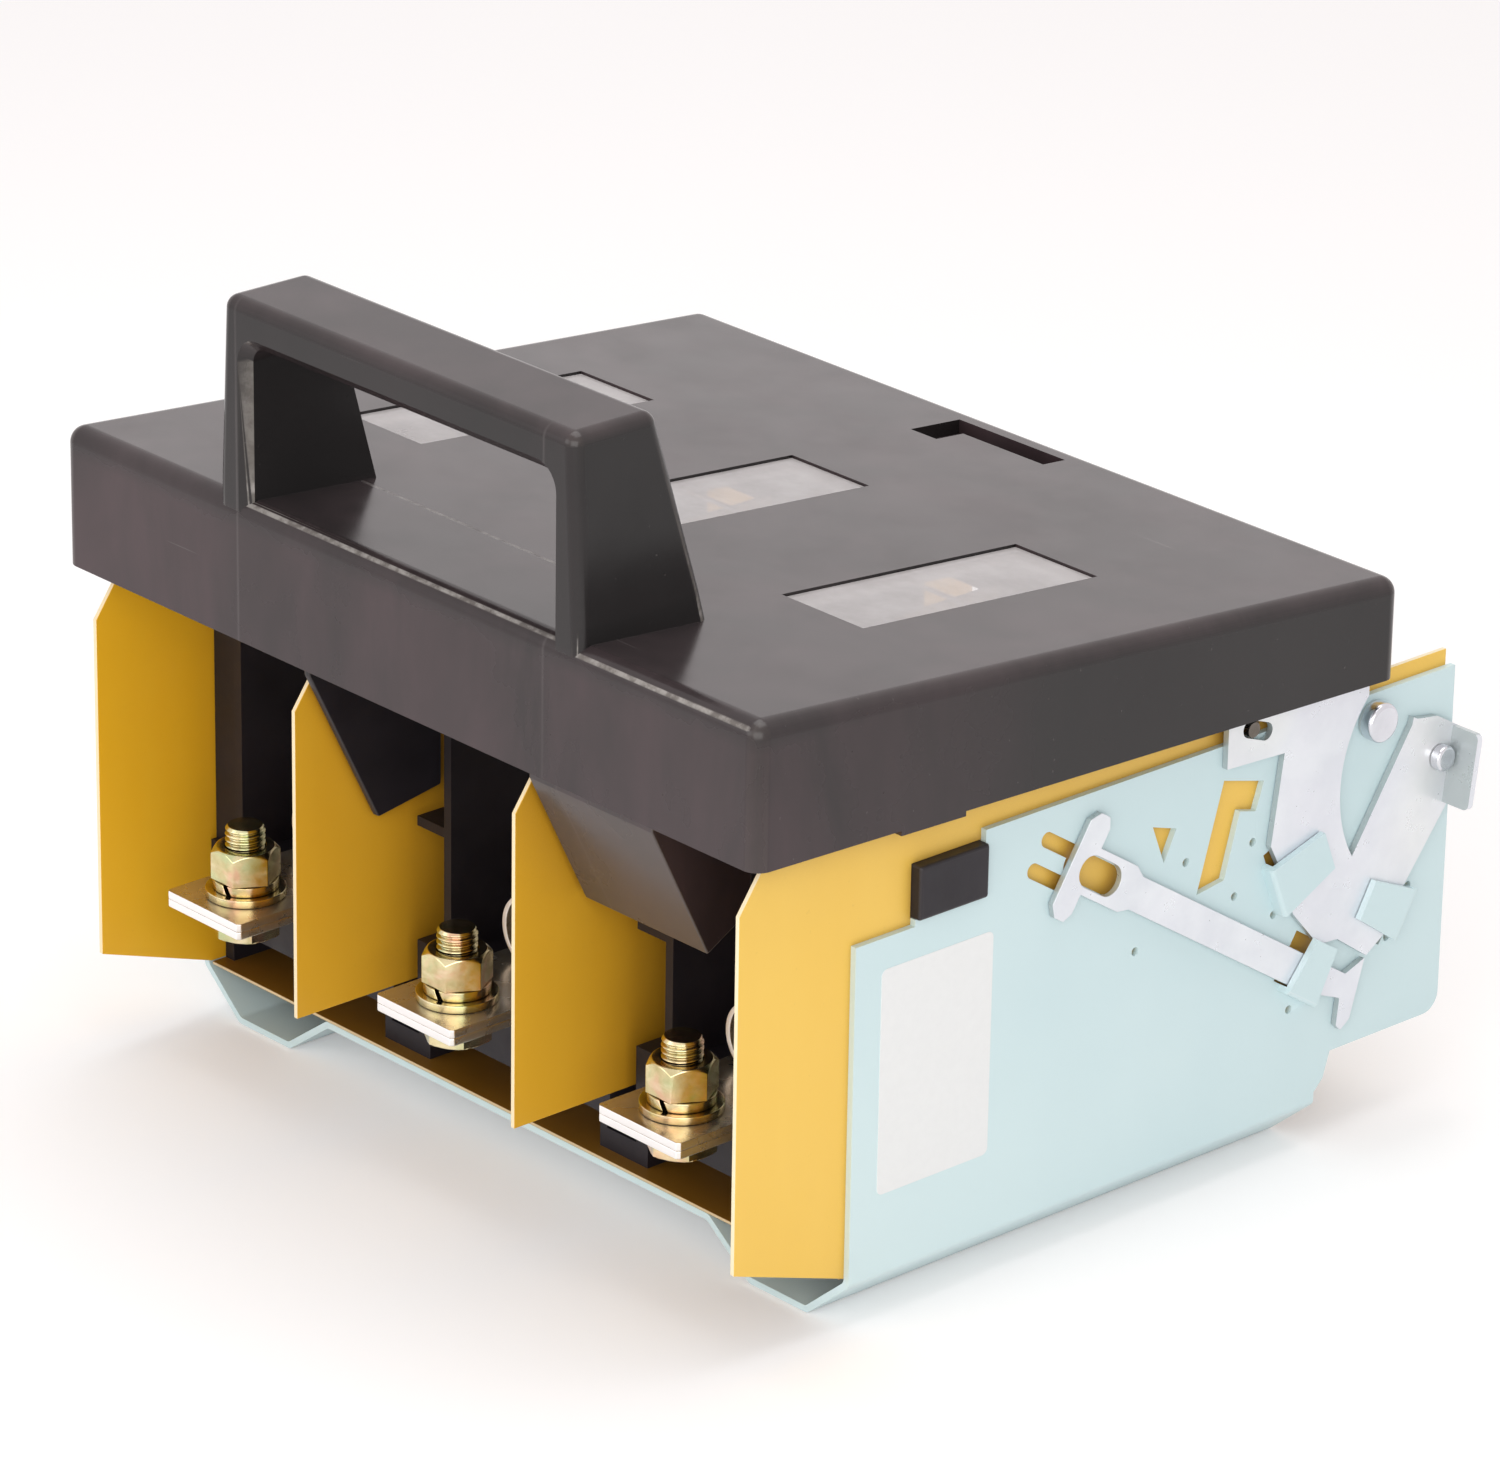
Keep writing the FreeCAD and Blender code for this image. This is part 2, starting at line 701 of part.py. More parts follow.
def cover_shell():
    outer = cover_block(0, 0)
    outer = fillet_where(outer, cover_round, lambda e: not is_rim(e))
    hollow = cover_block(cover_wall, 20)
    hollow = fillet_where(hollow, 2.0, lambda e: along(e, V(0, 0, 1)))
    shell = outer.cut(hollow)
    back = COVER_B - cover_wall
    lug_in = SIDE_SHEET - fit_gap - hinge_lug
    inside = cover_width / 2 - cover_wall
    shell = shell.cut(box(-inside, inside, back - 1, COVER_B + 1, rim_back - 5, back_wall_rim))
    for side in (-1, 1):
        gap = sorted((side * (lug_in - 1), side * inside))
        shell = shell.cut(box(gap[0], gap[1], back - 1, COVER_B + 1, rim_back - 5, cover_inner(COVER_B)))
    return shell


def is_rim(edge):
    p = edge.CenterOfMass
    return abs(p.z - rim(p.y)) < 0.5


def skirt_lip(side):
    y0 = FRONT + lip_start
    y1 = y0 + lip_length
    half = cover_width / 2
    points = [(y0, rim(y0) + 0.5), (y0, rim(y0) - lip_drop), (y1, rim(y1) - lip_drop), (y1, rim(y1) + 0.5)]
    x = sorted((side * (half - cover_wall), side * half))
    return prism_x(points, x[0], x[1])


def handle():
    """Moulded grip over the front edge: an upright arch whose rear face slopes down to the cover."""
    top = cover_top(COVER_F) + handle_rise
    foot_y = COVER_F + handle_foot_depth
    side = [(COVER_F, cover_top(COVER_F) - cover_wall), (COVER_F, top), (COVER_F + handle_top_depth, top),
            (foot_y, cover_top(foot_y) - cover_wall / 2)]
    body = prism_x(side, -handle_width / 2, handle_width / 2)
    low_z = cover_top(foot_y) - 10
    half = handle_width / 2
    front_view = [(-half - 1, low_z), (half + 1, low_z), (half - handle_taper, top + 1),
                  (-half + handle_taper, top + 1)]
    body = body.common(prism_y(front_view, COVER_F - 1, foot_y + 1))
    body = fillet_where(body, handle_round, lambda e: e.CenterOfMass.z > top - 1
                        or (abs(e.CenterOfMass.x) > half - handle_taper - 1
                            and e.CenterOfMass.z > cover_top(COVER_F) + 5))
    grip = [(COVER_F - 1, cover_top(COVER_F - 1)), (COVER_F - 1, cover_top(COVER_F) + grip_height),
            (foot_y + 1, cover_top(COVER_F) + grip_height), (foot_y + 1, cover_top(foot_y + 1))]
    hole = prism_x(grip, -grip_width / 2, grip_width / 2)
    hole = fillet_where(hole, 5.0, lambda e: along(e, V(0, 1, 0)) and e.CenterOfMass.z > top - 20)
    sill = cover_top(COVER_F)
    hole = hole.fuse(box(-grip_width / 2, grip_width / 2, COVER_F - 1, COVER_F + cover_round + 1,
                         sill - 2 * cover_wall, sill + 1)).removeSplitter()
    body = body.cut(hole)
    return body.makeChamfer(grip_flare, [e for e in body.Edges if abs(e.CenterOfMass.y - COVER_F) < 0.1
                                         and abs(e.CenterOfMass.x) < grip_width / 2 + 0.1
                                         and e.CenterOfMass.z < sill + grip_height + 0.1])


def window_places():
    return [window_offset + window_pitch * side for side in (-1, 0, 1)]


def window_hole(x):
    y0 = window_shift - window_length / 2
    y1 = window_shift + window_length / 2
    points = [(y0, cover_top(y0) + 2), (y1, cover_top(y1) + 2), (y1, cover_inner(y1) - 2),
              (y0, cover_inner(y0) - 2)]
    return prism_x(points, x - window_width / 2, x + window_width / 2)


def rear_slot():
    """A recess near the cover's rear edge: one leg along the edge, one running forwards."""
    y1 = COVER_B - slot_set
    y0 = y1 - slot_length
    x0 = slot_x0
    low = sloped_slab(y0, y1, -2, slot_deep, x0, x0 + slot_width)
    keep = sloped_slab(y0 - 1, y1 - slot_leg, -3, slot_deep + 1, x0 + slot_leg + 2, x0 + slot_width + 1)
    return low.cut(keep)


def slot_boss():
    """Thickening under the recess, so that the recess has a floor."""
    y1 = COVER_B - slot_set + 2
    return sloped_slab(y1 - slot_length - 4, y1, cover_wall - 0.5, slot_deep + 2.2, slot_x0 - 2,
                       slot_x0 + slot_width + 2)


def hinge_lug_right():
    x1 = SIDE_SHEET - fit_gap
    x0 = x1 - hinge_lug
    r = hinge_lug_radius
    h = HINGE
    top = cover_inner(COVER_B) + 1
    web = prism_x([(h.y - r, h.z), (h.y - r - 2, top), (COVER_B - cover_wall / 2, top),
                   (COVER_B - cover_wall / 2, back_wall_rim), (h.y + r, h.z)], x0, x1)
    lug = web.fuse(rod_x(h, r, x0, x1)).removeSplitter()
    return lug.cut(rod_x(h, hinge_bolt / 2 + running_gap, x0 - 1, x1 + 1))


def drive_arm():
    """The arm inside the cover's right skirt that carries the drive pin."""
    x1 = SIDE_SHEET - fit_gap
    x0 = x1 - hinge_lug - 1
    r = drive_pin / 2 + 3
    web = box(x0, x1, PIN.y - r, PIN.y + r, PIN.z, cover_inner(PIN.y + r) + 1)
    arm = web.fuse(rod_x(PIN, r, x0, x1)).removeSplitter()
    return arm.cut(rod_x(PIN, drive_pin / 2, x0 - 1, x1 + 1))


def cover():
    body = cover_shell()
    for x in window_places():
        body = body.cut(window_hole(x))
    lug = hinge_lug_right()
    body = body.fuse(slot_boss()).cut(rear_slot())
    body = body.fuse([handle(), skirt_lip(-1), skirt_lip(1), lug, mirror_x(lug), drive_arm()])
    return body.removeSplitter()


def lever_pin():
    x0 = SIDE_SHEET - fit_gap - hinge_lug - 1
    pin = rod_x(PIN, drive_pin / 2, x0, LEVER_OUT + 0.4)
    return pin


def window_insert(x):
    """Clear insert: a skin just below the cover's face, side walls in the hole and snap lugs."""
    half = window_width / 2 - window_gap
    y0 = window_shift - window_length / 2 + window_gap
    y1 = window_shift + window_length / 2 - window_gap
    wall = 1.5
    under = window_sink + window_skin
    outer = sloped_slab(y0, y1, window_sink, cover_wall + window_under, x - half, x + half)
    inner = sloped_slab(y0 + wall, y1 - wall, under, cover_wall + 3, x - half + wall, x + half - wall)
    body = outer.cut(inner)
    lug_length = 9.0
    for side in (-1, 1):
        for y in (y0 + 18, y1 - 18 - lug_length):
            edge = sorted((x + side * (half - 0.5), x + side * (half + window_lug)))
            body = body.fuse(sloped_slab(y, y + lug_length, cover_wall + 0.1, cover_wall + window_under,
                                         edge[0], edge[1]))
    rib = sloped_slab(window_shift - 0.6, window_shift + 0.6, under - 0.5, under + 1.2,
                      x - half + 0.5, x + half - 0.5)
    return body.fuse(rib).removeSplitter()


def sloped_slab(y0, y1, deep0, deep1, x0, x1):
    """A slab parallel to the cover's top, between two depths below it."""
    points = [(y0, cover_top(y0) - deep0), (y1, cover_top(y1) - deep0), (y1, cover_top(y1) - deep1),
              (y0, cover_top(y0) - deep1)]
    return prism_x(points, x0, x1)


def shield_outline(front, low, back):
    """Side view of an arc shield: steep front edge, shallow underside, up to the cover."""
    reach = COVER_F + cover_wall + 1.5
    z_low = low
    y_low = FRONT - 13.7 - (z_low - shield_low) * 0.5
    y_top = max(reach, y_low - (cover_inner(reach) - z_low) * 0.5)
    return [(y_top, cover_inner(y_top)), (y_top, z_low + (y_low - y_top) / 0.5), (y_low, z_low),
            (FRONT + back, z_low + (FRONT + back - y_low) * front), (FRONT + back, cover_inner(FRONT + back))]


def arc_shield_plate():
    x = -pole_pitch / 2 + barrier / 2 + 1.2
    return prism_x(shield_outline(0.17, shield_low, 10.0), x, x + shield_thickness)


def arc_shield_prism():
    x = pole_pitch / 2 + barrier / 2 + 2.8
    body = prism_x(shield_outline(0.57, prism_low, -2.0), x, x + prism_width)
    return body


# Fuse links

def fuse_body(pole):
    half = fuse_body_width / 2
    length = fuse_body_length / 2 - end_plate
    body = box(pole - half, pole + half, -length, length, fuse_low, FUSE_TOP)
    return body.makeFillet(6.0, [e for e in body.Edges if along(e, V(0, 1, 0))])


def fuse_end(pole):
    """Front end plate with its blade and its T-shaped grip lug, one pressed metal piece."""
    y1 = -fuse_body_length / 2 + end_plate
    y0 = -fuse_body_length / 2
    half = fuse_body_width / 2 - 2
    plate = box(-half, half, y0, y1, fuse_low + 2, FUSE_TOP - 1)
    plate = plate.makeFillet(5.0, [e for e in plate.Edges if along(e, V(0, 1, 0))])
    z0 = fuse_low + blade_rise
    blade = box(-blade_thickness / 2, blade_thickness / 2, -fuse_length / 2, y0, z0, z0 + blade_height)
    blade = blade.makeChamfer(1.5, [e for e in blade.Edges if along(e, V(0, 0, 1)) and e.CenterOfMass.y < y0 - 1])
    blade = fillet_where(blade, 5.0, lambda e: along(e, V(1, 0, 0)) and e.CenterOfMass.y < y0 - 1)
    neck = box(-lug_neck / 2, lug_neck / 2, y0, y1, FUSE_TOP - 2, FUSE_TOP + lug_rise)
    head = box(-lug_head / 2, lug_head / 2, y0, y1, FUSE_TOP + lug_rise - lug_thick, FUSE_TOP + lug_rise)
    body = plate.fuse([blade, neck, head]).removeSplitter()
    body.translate(V(pole, 0, 0))
    return body


def fuse_contacts(pole):
    front = fuse_end(pole)
    return Part.makeCompound([front, mirror_y(front)])


def fuse_clip(pole, side):
    """Clip under the cover with a T-slot for one grip lug; it is cut back round the window insert."""
    yc = side * (fuse_body_length / 2 - end_plate / 2)
    y0 = yc - clip_length / 2
    y1 = yc + clip_length / 2
    low = FUSE_TOP + 2.5
    half = lug_head / 2 + clip_side
    body = prism_x([(y0, low), (y1, low), (y1, cover_inner(y1)), (y0, cover_inner(y0))],
                   pole - half, pole + half)
    neck = lug_neck / 2 + fit_gap
    head = lug_head / 2 + fit_gap
    head_low = FUSE_TOP + lug_rise - lug_thick - fit_gap
    body = body.cut(box(pole - neck, pole + neck, y0 - 1, y1 + 1, low - 1, head_low + 1))
    body = body.cut(box(pole - head, pole + head, y0 - 1, y1 + 1, head_low, FUSE_TOP + lug_rise + fit_gap))
    for x in window_places():
        room = window_width / 2 + window_lug + 2 * fit_gap
        body = body.cut(sloped_slab(y0 - 1, y1 + 1, 0, cover_wall + window_under + fit_gap, x - room, x + room))
    return body


def fuse_clips():
    return Part.makeCompound([fuse_clip(x, side) for x in POLES for side in (-1, 1)])


# Hinge, lever and link bar

def round_head(centre, diameter, x0, height, edge):
    """A round head on an axis along X with its outer rim rounded."""
    head = rod_x(centre, diameter / 2, x0, x0 + height)
    rim_edges = [e for e in head.Edges if e.CenterOfMass.x > x0 + height / 2
                 and e.Curve.TypeId == "Part::GeomCircle"]
    return head.makeFillet(edge, rim_edges)


def hinge_bolts():
    x0 = SIDE_SHEET - fit_gap - hinge_lug - fit_gap - hinge_nut
    seat = HALF + hinge_washer_thickness
    shank = rod_x(HINGE, hinge_bolt / 2, x0 - 1.5, seat)
    right = shank.fuse(round_head(HINGE, hinge_head, seat, hinge_head_height, 1.4))
    return Part.makeCompound([right, mirror_x(right)])


hinge_washer_thickness = 1.2
hinge_nut = 4.0
hinge_nut_flats = 10.0


def hinge_washers():
    right = rod_x(HINGE, hinge_washer / 2, HALF, HALF + hinge_washer_thickness)
    right = right.cut(rod_x(HINGE, hinge_bolt / 2 + 0.1, HALF - 1, HALF + 3))
    return Part.makeCompound([right, mirror_x(right)])


def hinge_nuts():
    x1 = SIDE_SHEET - fit_gap - hinge_lug - fit_gap
    nut = hexagon(hinge_nut_flats, V(x1 - hinge_nut, HINGE.y, HINGE.z), V(1, 0, 0), hinge_nut)
    nut = nut.cut(rod_x(HINGE, hinge_bolt / 2 + 0.05, x1 - hinge_nut - 1, x1 + 1))
    return Part.makeCompound([nut, mirror_x(nut)])


def lever_rivet():
    """Shoulder rivet that the lever turns on, headed inside the side plate and outside the lever."""
    shank = rod_x(PIVOT, pivot_pin / 2, SHEET_IN, LEVER_OUT + fit_gap)
    inner = rod_x(PIVOT, rivet_head / 2, SIDE_SHEET + 0.2, SHEET_IN)
    outer = round_head(PIVOT, rivet_head, LEVER_OUT + fit_gap, rivet_head_height, 1.0)
    return shank.fuse([inner, outer]).removeSplitter()


def pin_span():
    """Nearest and furthest that the drive pin comes to the lever's pivot as the cover opens."""
    arm = PIN - HINGE
    reach = []
    for step in range(16):
        a = math.radians(cover_open * step / 15)
        y = HINGE.y + arm.y * math.cos(a) + arm.z * math.sin(a)
        z = HINGE.z - arm.y * math.sin(a) + arm.z * math.cos(a)
        reach.append(math.hypot(y - PIVOT.y, z - PIVOT.z))
    return min(reach), max(reach)


def lever_outline():
    """The lever's blank from its pivot: left arm over the drive pin, hub, tongue and right arm."""
    p = PIVOT
    arm_y = PIN.y - 9.9
    arm_z = PIN.z - 9.6
    top = HINGE.z + 16.7
    hub = [(-68.9, -9.4), (-64.3, -17.8), (-58.5, -33.2), (-47.3, -46.0), (-39.4, -46.5),
           (-26.8, -55.3), (-18.6, -49.9), (-13.6, -39.0), (4.0, -16.4), (7.3, 7.9), (-1.5, 13.0),
           (-10.0, 14.3)]
    points = [(arm_y, top), (arm_y, arm_z), (p.y - 64.9, arm_z - 1.1)]
    points += [(p.y + dy, p.z + dz) for dy, dz in hub]
    return points + [(p.y - 15.0, p.z + 17.0), (p.y - 31.0, p.z + 24.0), (p.y - 31.0, top - 3.0),
                     (p.y - 34.0, top)]


def hinge_gap():
    """The curved opening in the lever that clears the hinge bolt's washer while the lever turns."""
    arm = math.hypot(pivot_back, pivot_drop)
    outer = arm + hinge_washer / 2 + 3.0
    p = PIVOT
    angles = [math.radians(a) for a in (100, 155, 212)]
    ends = [V(LEVER_IN - 1, p.y + outer * math.cos(a), p.z + outer * math.sin(a)) for a in angles]
    arc = Part.Arc(*ends).toShape()
    corner = V(LEVER_IN - 1, p.y - 12.1, p.z + 12.9)
    above = V(LEVER_IN - 1, p.y - 5.0, p.z + outer + 2)
    lines = [Part.makeLine(ends[2], corner), Part.makeLine(corner, above), Part.makeLine(above, ends[0])]
    return Part.Face(Part.Wire(Part.__sortEdges__([arc] + lines))).extrude(V(lever_sheet + 2, 0, 0))


def actuator_lever():
    plate = prism_x(lever_outline(), LEVER_IN, LEVER_OUT)
    plate = plate.cut(hinge_gap())
    near, far = pin_span()
    out = PIN - PIVOT
    out.normalize()
    width = drive_pin + 2 * pin_slot_gap
    mid = PIVOT + out * ((near + far) / 2)
    plate = plate.cut(slot_x(mid, (out.y, out.z), far - near + width, width, LEVER_IN - 1, LEVER_OUT + 1))
    plate = plate.cut(rod_x(PIVOT, pivot_pin / 2 + running_gap, LEVER_IN - 1, LEVER_OUT + 1))
    p = PIVOT
    edge = [(p.y + 4.2, p.z - 15.2), (p.y + 7.3, p.z + 7.9), (p.y + 5.3, p.z + 8.2), (p.y + 2.2, p.z - 14.9)]
    flange = prism_x(edge, LEVER_IN, HALF + flange_reach)
    flange = fillet_where(flange, 2.0, lambda e: e.CenterOfMass.x > HALF + flange_reach - 0.1
                          and abs(e.CenterOfMass.z - p.z + 3.5) > 8)
    return plate.fuse(flange).removeSplitter()


def link_bar():
    """Flat bar with a T-head at the front and a hooked tail under the lever's tongue."""
    half = link_width / 2
    head = link_head / 2
    points = [on_link(-4.5, head - 3), on_link(-1.5, head), on_link(2.5, head), on_link(4.5, head - 3),
              on_link(4.5, half + 2), on_link(22.0, half + 2), on_link(26.0, half), on_link(118.0, half),
              on_link(127.0, half)]
    tail = [(LINK_O.y + 117.4, LINK_O.z - 61.5), (LINK_O.y + 112.0, LINK_O.z - 79.5),
            (LINK_O.y + 108.5, LINK_O.z - 82.0), (LINK_O.y + 106.5, LINK_O.z - 80.0),
            (LINK_O.y + 107.5, LINK_O.z - 71.5)]
    low = [on_link(113.0, -half), on_link(26.0, -half), on_link(22.0, -half - 2), on_link(4.5, -half - 2),
           on_link(4.5, -head + 3), on_link(2.5, -head), on_link(-1.5, -head), on_link(-4.5, -head + 3)]
    bar = prism_x(points + tail + low, LEVER_IN, LEVER_OUT)
    oval = V(0, *on_link(9.0, 0.0))
    return bar.cut(slot_x(oval, (LINK_U.y, LINK_U.z), 18.0, 9.5, LEVER_IN - 1, LEVER_OUT + 1))


def nodes():
    made = {
        "base_frame": base_frame(),
        "base_insulation": base_insulation(),
        "side_barrier_right": right_side_barrier(),
        "side_barrier_left": mirror_x(side_barrier()),
        "pole_barrier_left": pole_barrier(-pole_pitch / 2),
        "pole_barrier_right": pole_barrier(pole_pitch / 2),
        "stopper_block_right": stopper_block(),
        "stopper_block_left": mirror_x(stopper_block()),
    }
    for number, x in enumerate(POLES, 1):
        base = pole_base(x)
        plate = terminal_plate(x)
        jaw = contact_jaw(x)
        made["front_pole_base_%d" % number] = base
        made["rear_pole_base_%d" % number] = mirror_y(base)
        made["front_terminal_plate_%d" % number] = plate
        made["rear_terminal_plate_%d" % number] = mirror_y(plate)
        made["front_contact_jaw_%d" % number] = jaw
        made["rear_contact_jaw_%d" % number] = mirror_y(jaw)
        made["fuse_body_%d" % number] = fuse_body(x)
        made["fuse_contacts_%d" % number] = fuse_contacts(x)
        made["window_%d" % number] = window_insert(window_places()[number - 1])
    made.update({
        "terminal_bolts": terminal_bolts(),
        "terminal_nuts": terminal_nuts(),
        "flat_washers": flat_washers(),
        "spring_washers": spring_washers(),
        "base_screws": base_screws(),
        "cover": cover(),
        "fuse_clips": fuse_clips(),
        "arc_shield_plate": arc_shield_plate(),
        "arc_shield_prism": arc_shield_prism(),
        "lever_pin": lever_pin(),
        "hinge_bolts": hinge_bolts(),
        "hinge_washers": hinge_washers(),
        "hinge_nuts": hinge_nuts(),
        "lever_rivet": lever_rivet(),
        "actuator_lever": actuator_lever(),
        "link_bar": link_bar(),
    })
    return made


os.makedirs("parts", exist_ok=True)
for name, shape in nodes().items():
    shape.exportStep("parts/%s.step" % name)
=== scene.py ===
import json
import math

import bmesh
import bpy
from mathutils import Matrix, Vector


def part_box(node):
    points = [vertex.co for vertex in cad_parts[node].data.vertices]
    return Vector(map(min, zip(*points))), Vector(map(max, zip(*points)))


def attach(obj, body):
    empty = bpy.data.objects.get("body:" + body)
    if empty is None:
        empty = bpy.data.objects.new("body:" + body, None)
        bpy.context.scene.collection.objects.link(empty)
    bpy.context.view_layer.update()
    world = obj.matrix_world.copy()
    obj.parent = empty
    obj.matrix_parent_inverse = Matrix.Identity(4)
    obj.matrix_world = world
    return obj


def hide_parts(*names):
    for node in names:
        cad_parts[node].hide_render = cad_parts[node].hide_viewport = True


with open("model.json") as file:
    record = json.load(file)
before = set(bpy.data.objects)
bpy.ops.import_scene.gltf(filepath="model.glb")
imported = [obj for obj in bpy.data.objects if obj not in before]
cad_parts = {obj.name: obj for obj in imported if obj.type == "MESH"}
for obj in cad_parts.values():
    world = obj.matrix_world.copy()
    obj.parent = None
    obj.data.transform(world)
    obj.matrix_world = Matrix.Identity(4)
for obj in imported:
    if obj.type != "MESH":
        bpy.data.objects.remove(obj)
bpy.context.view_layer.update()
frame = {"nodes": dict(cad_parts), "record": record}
nodes = frame["nodes"]


# Materials. A node's object coordinates are the part's own frame at rest, in metres, and so are the sizes and
# places below.

class Graph:
    """A small helper round one material's node tree."""

    def __init__(self, name):
        self.mat = bpy.data.materials.new(name)
        self.mat.use_nodes = True
        self.tree = self.mat.node_tree
        self.shader = self.tree.nodes["Principled BSDF"]
        coord = self.tree.nodes.new("ShaderNodeTexCoord")
        self.coord = coord.outputs["Object"]

    def add(self, kind, **inputs):
        """A new node with its inputs fed. An underscore stands for a space in an input's name."""
        node = self.tree.nodes.new(kind)
        for key, value in inputs.items():
            self.feed(node.inputs[key.replace("_", " ")], value)
        return node

    def feed(self, socket, value):
        """Link an output to a socket, or set the socket to a plain value."""
        if hasattr(value, "is_output"):
            self.tree.links.new(value, socket)
        elif isinstance(value, tuple) and socket.type == "RGBA":
            socket.default_value = value + (1.0,)
        else:
            socket.default_value = value

    def set(self, **values):
        """Feed inputs of the surface shader."""
        for key, value in values.items():
            self.feed(self.shader.inputs[key.replace("_", " ")], value)

    def math(self, operation, a, b=0.0):
        """A math node on one or two values."""
        node = self.tree.nodes.new("ShaderNodeMath")
        node.operation = operation
        self.feed(node.inputs[0], a)
        self.feed(node.inputs[1], b)
        return node.outputs[0]

    def times(self, first, *others):
        """The product of several values."""
        for other in others:
            first = self.math("MULTIPLY", first, other)
        return first

    def most(self, first, *others):
        """The greatest of several values."""
        for other in others:
            first = self.math("MAXIMUM", first, other)
        return first

    def ramp(self, value, low, high, to_low=0.0, to_high=1.0):
        """Map low..high of a value to a new span, clamped."""
        node = self.add("ShaderNodeMapRange", Value=value, From_Min=low, From_Max=high,
                        To_Min=to_low, To_Max=to_high)
        return node.outputs["Result"]

    def spread(self, noise, low, high):
        """Map the middle of a noise, where most of it lies, to a new span."""
        return self.ramp(noise, 0.3, 0.7, low, high)

    def mix(self, factor, a, b):
        """Colour a where the factor is 0, colour b where it is 1."""
        node = self.tree.nodes.new("ShaderNodeMix")
        node.data_type = "RGBA"
        self.feed(node.inputs[0], factor)
        self.feed(node.inputs[6], a)
        self.feed(node.inputs[7], b)
        return node.outputs[2]

    def stretch(self, x, y, z):
        """The coordinates stretched per axis, for brushed or streaky noise."""
        node = self.add("ShaderNodeMapping", Vector=self.coord, Scale=(x, y, z))
        return node.outputs["Vector"]

    def noise(self, size, detail=3.0, roughness=0.5, vector=None, distortion=0.0):
        """Noise whose spots are about that size in metres."""
        node = self.add("ShaderNodeTexNoise", Vector=vector or self.coord, Scale=0.5 / size, Detail=detail,
                        Roughness=roughness, Distortion=distortion)
        return node.outputs["Fac"]

    def scratches(self, angle, size, rare=0.74):
        """Sparse fine straight marks that run at one angle in degrees, seen from above."""
        long, thin = 10.0, 34.0
        turn = self.add("ShaderNodeMapping", Vector=self.coord, Rotation=(0.0, 0.0, math.radians(angle)),
                        Scale=(1.0, thin, thin))
        lines = self.noise(size * long, 2.0, 0.6, turn.outputs["Vector"])
        return self.ramp(lines, rare, rare + 0.05)

    def bump(self, height, distance, strength, below=None):
        """A bumped normal, with a distance in metres, on top of another one where that is given."""
        node = self.add("ShaderNodeBump", Height=height, Distance=distance, Strength=strength)
        if below is not None:
            self.feed(node.inputs["Normal"], below)
        return node.outputs["Normal"]

    def part_of(self, vector, axis):
        """One part of a vector, by the letter of its axis."""
        split = self.add("ShaderNodeSeparateXYZ", Vector=vector)
        return split.outputs["XYZ".index(axis)]

    def axis(self, name):
        """The place along one axis of the part."""
        return self.part_of(self.coord, name)

    def line(self, axis, place, width):
        """A soft line across the part at one place along an axis."""
        away = self.math("ABSOLUTE", self.math("SUBTRACT", self.axis(axis), place))
        return self.ramp(away, 0.0, width, 1.0, 0.0)

    def facing(self, axis):
        """How squarely a surface faces along an axis of its own object: 1 face on, 0 edge on."""
        geometry = self.add("ShaderNodeNewGeometry")
        own = self.add("ShaderNodeVectorTransform", Vector=geometry.outputs["True Normal"])
        own.vector_type = "NORMAL"
        own.convert_from = "WORLD"
        own.convert_to = "OBJECT"
        return self.math("ABSOLUTE", self.part_of(own.outputs["Vector"], axis))

    def edge(self, low=0.51, high=0.56):
        """Worn edges and, on the cover, painted edge highlights, by their pointiness, and none of it on the
        flat faces beside them.
        """
        geometry = self.add("ShaderNodeNewGeometry")
        rubbed_and_lit = self.ramp(geometry.outputs["Pointiness"], low, high)
        squarely = self.most(self.facing("X"), self.facing("Y"), self.facing("Z"))
        return self.times(rubbed_and_lit, self.ramp(squarely, 0.985, 0.995, 1.0, 0.0))

    def shade_in_corners(self, reach, strength):
        """Painted shade in corners, from ambient occlusion: the given strength in the deepest ones, and none
        in the open.
        """
        node = self.add("ShaderNodeAmbientOcclusion", Distance=reach)
        node.samples = 6
        return self.ramp(node.outputs["AO"], 0.30, 0.85, strength, 0.0)


# Where the wear, the painted light and the painted shade of the cover begin and end, in metres.
SKIRT_TOP = (0.186, 0.194)
HANDLE_FOOT = (0.199, 0.203)
SIDE_SKIRT_SHADE_FADE = (-0.125, -0.020)
FLOW_LINES = (-0.069, 0.063)
FLOW_WIDTH = 0.0007
SEAM_PLACE = -0.0938
SEAM_WIDTH = 0.0009
SEAM_END = (0.064, 0.065)


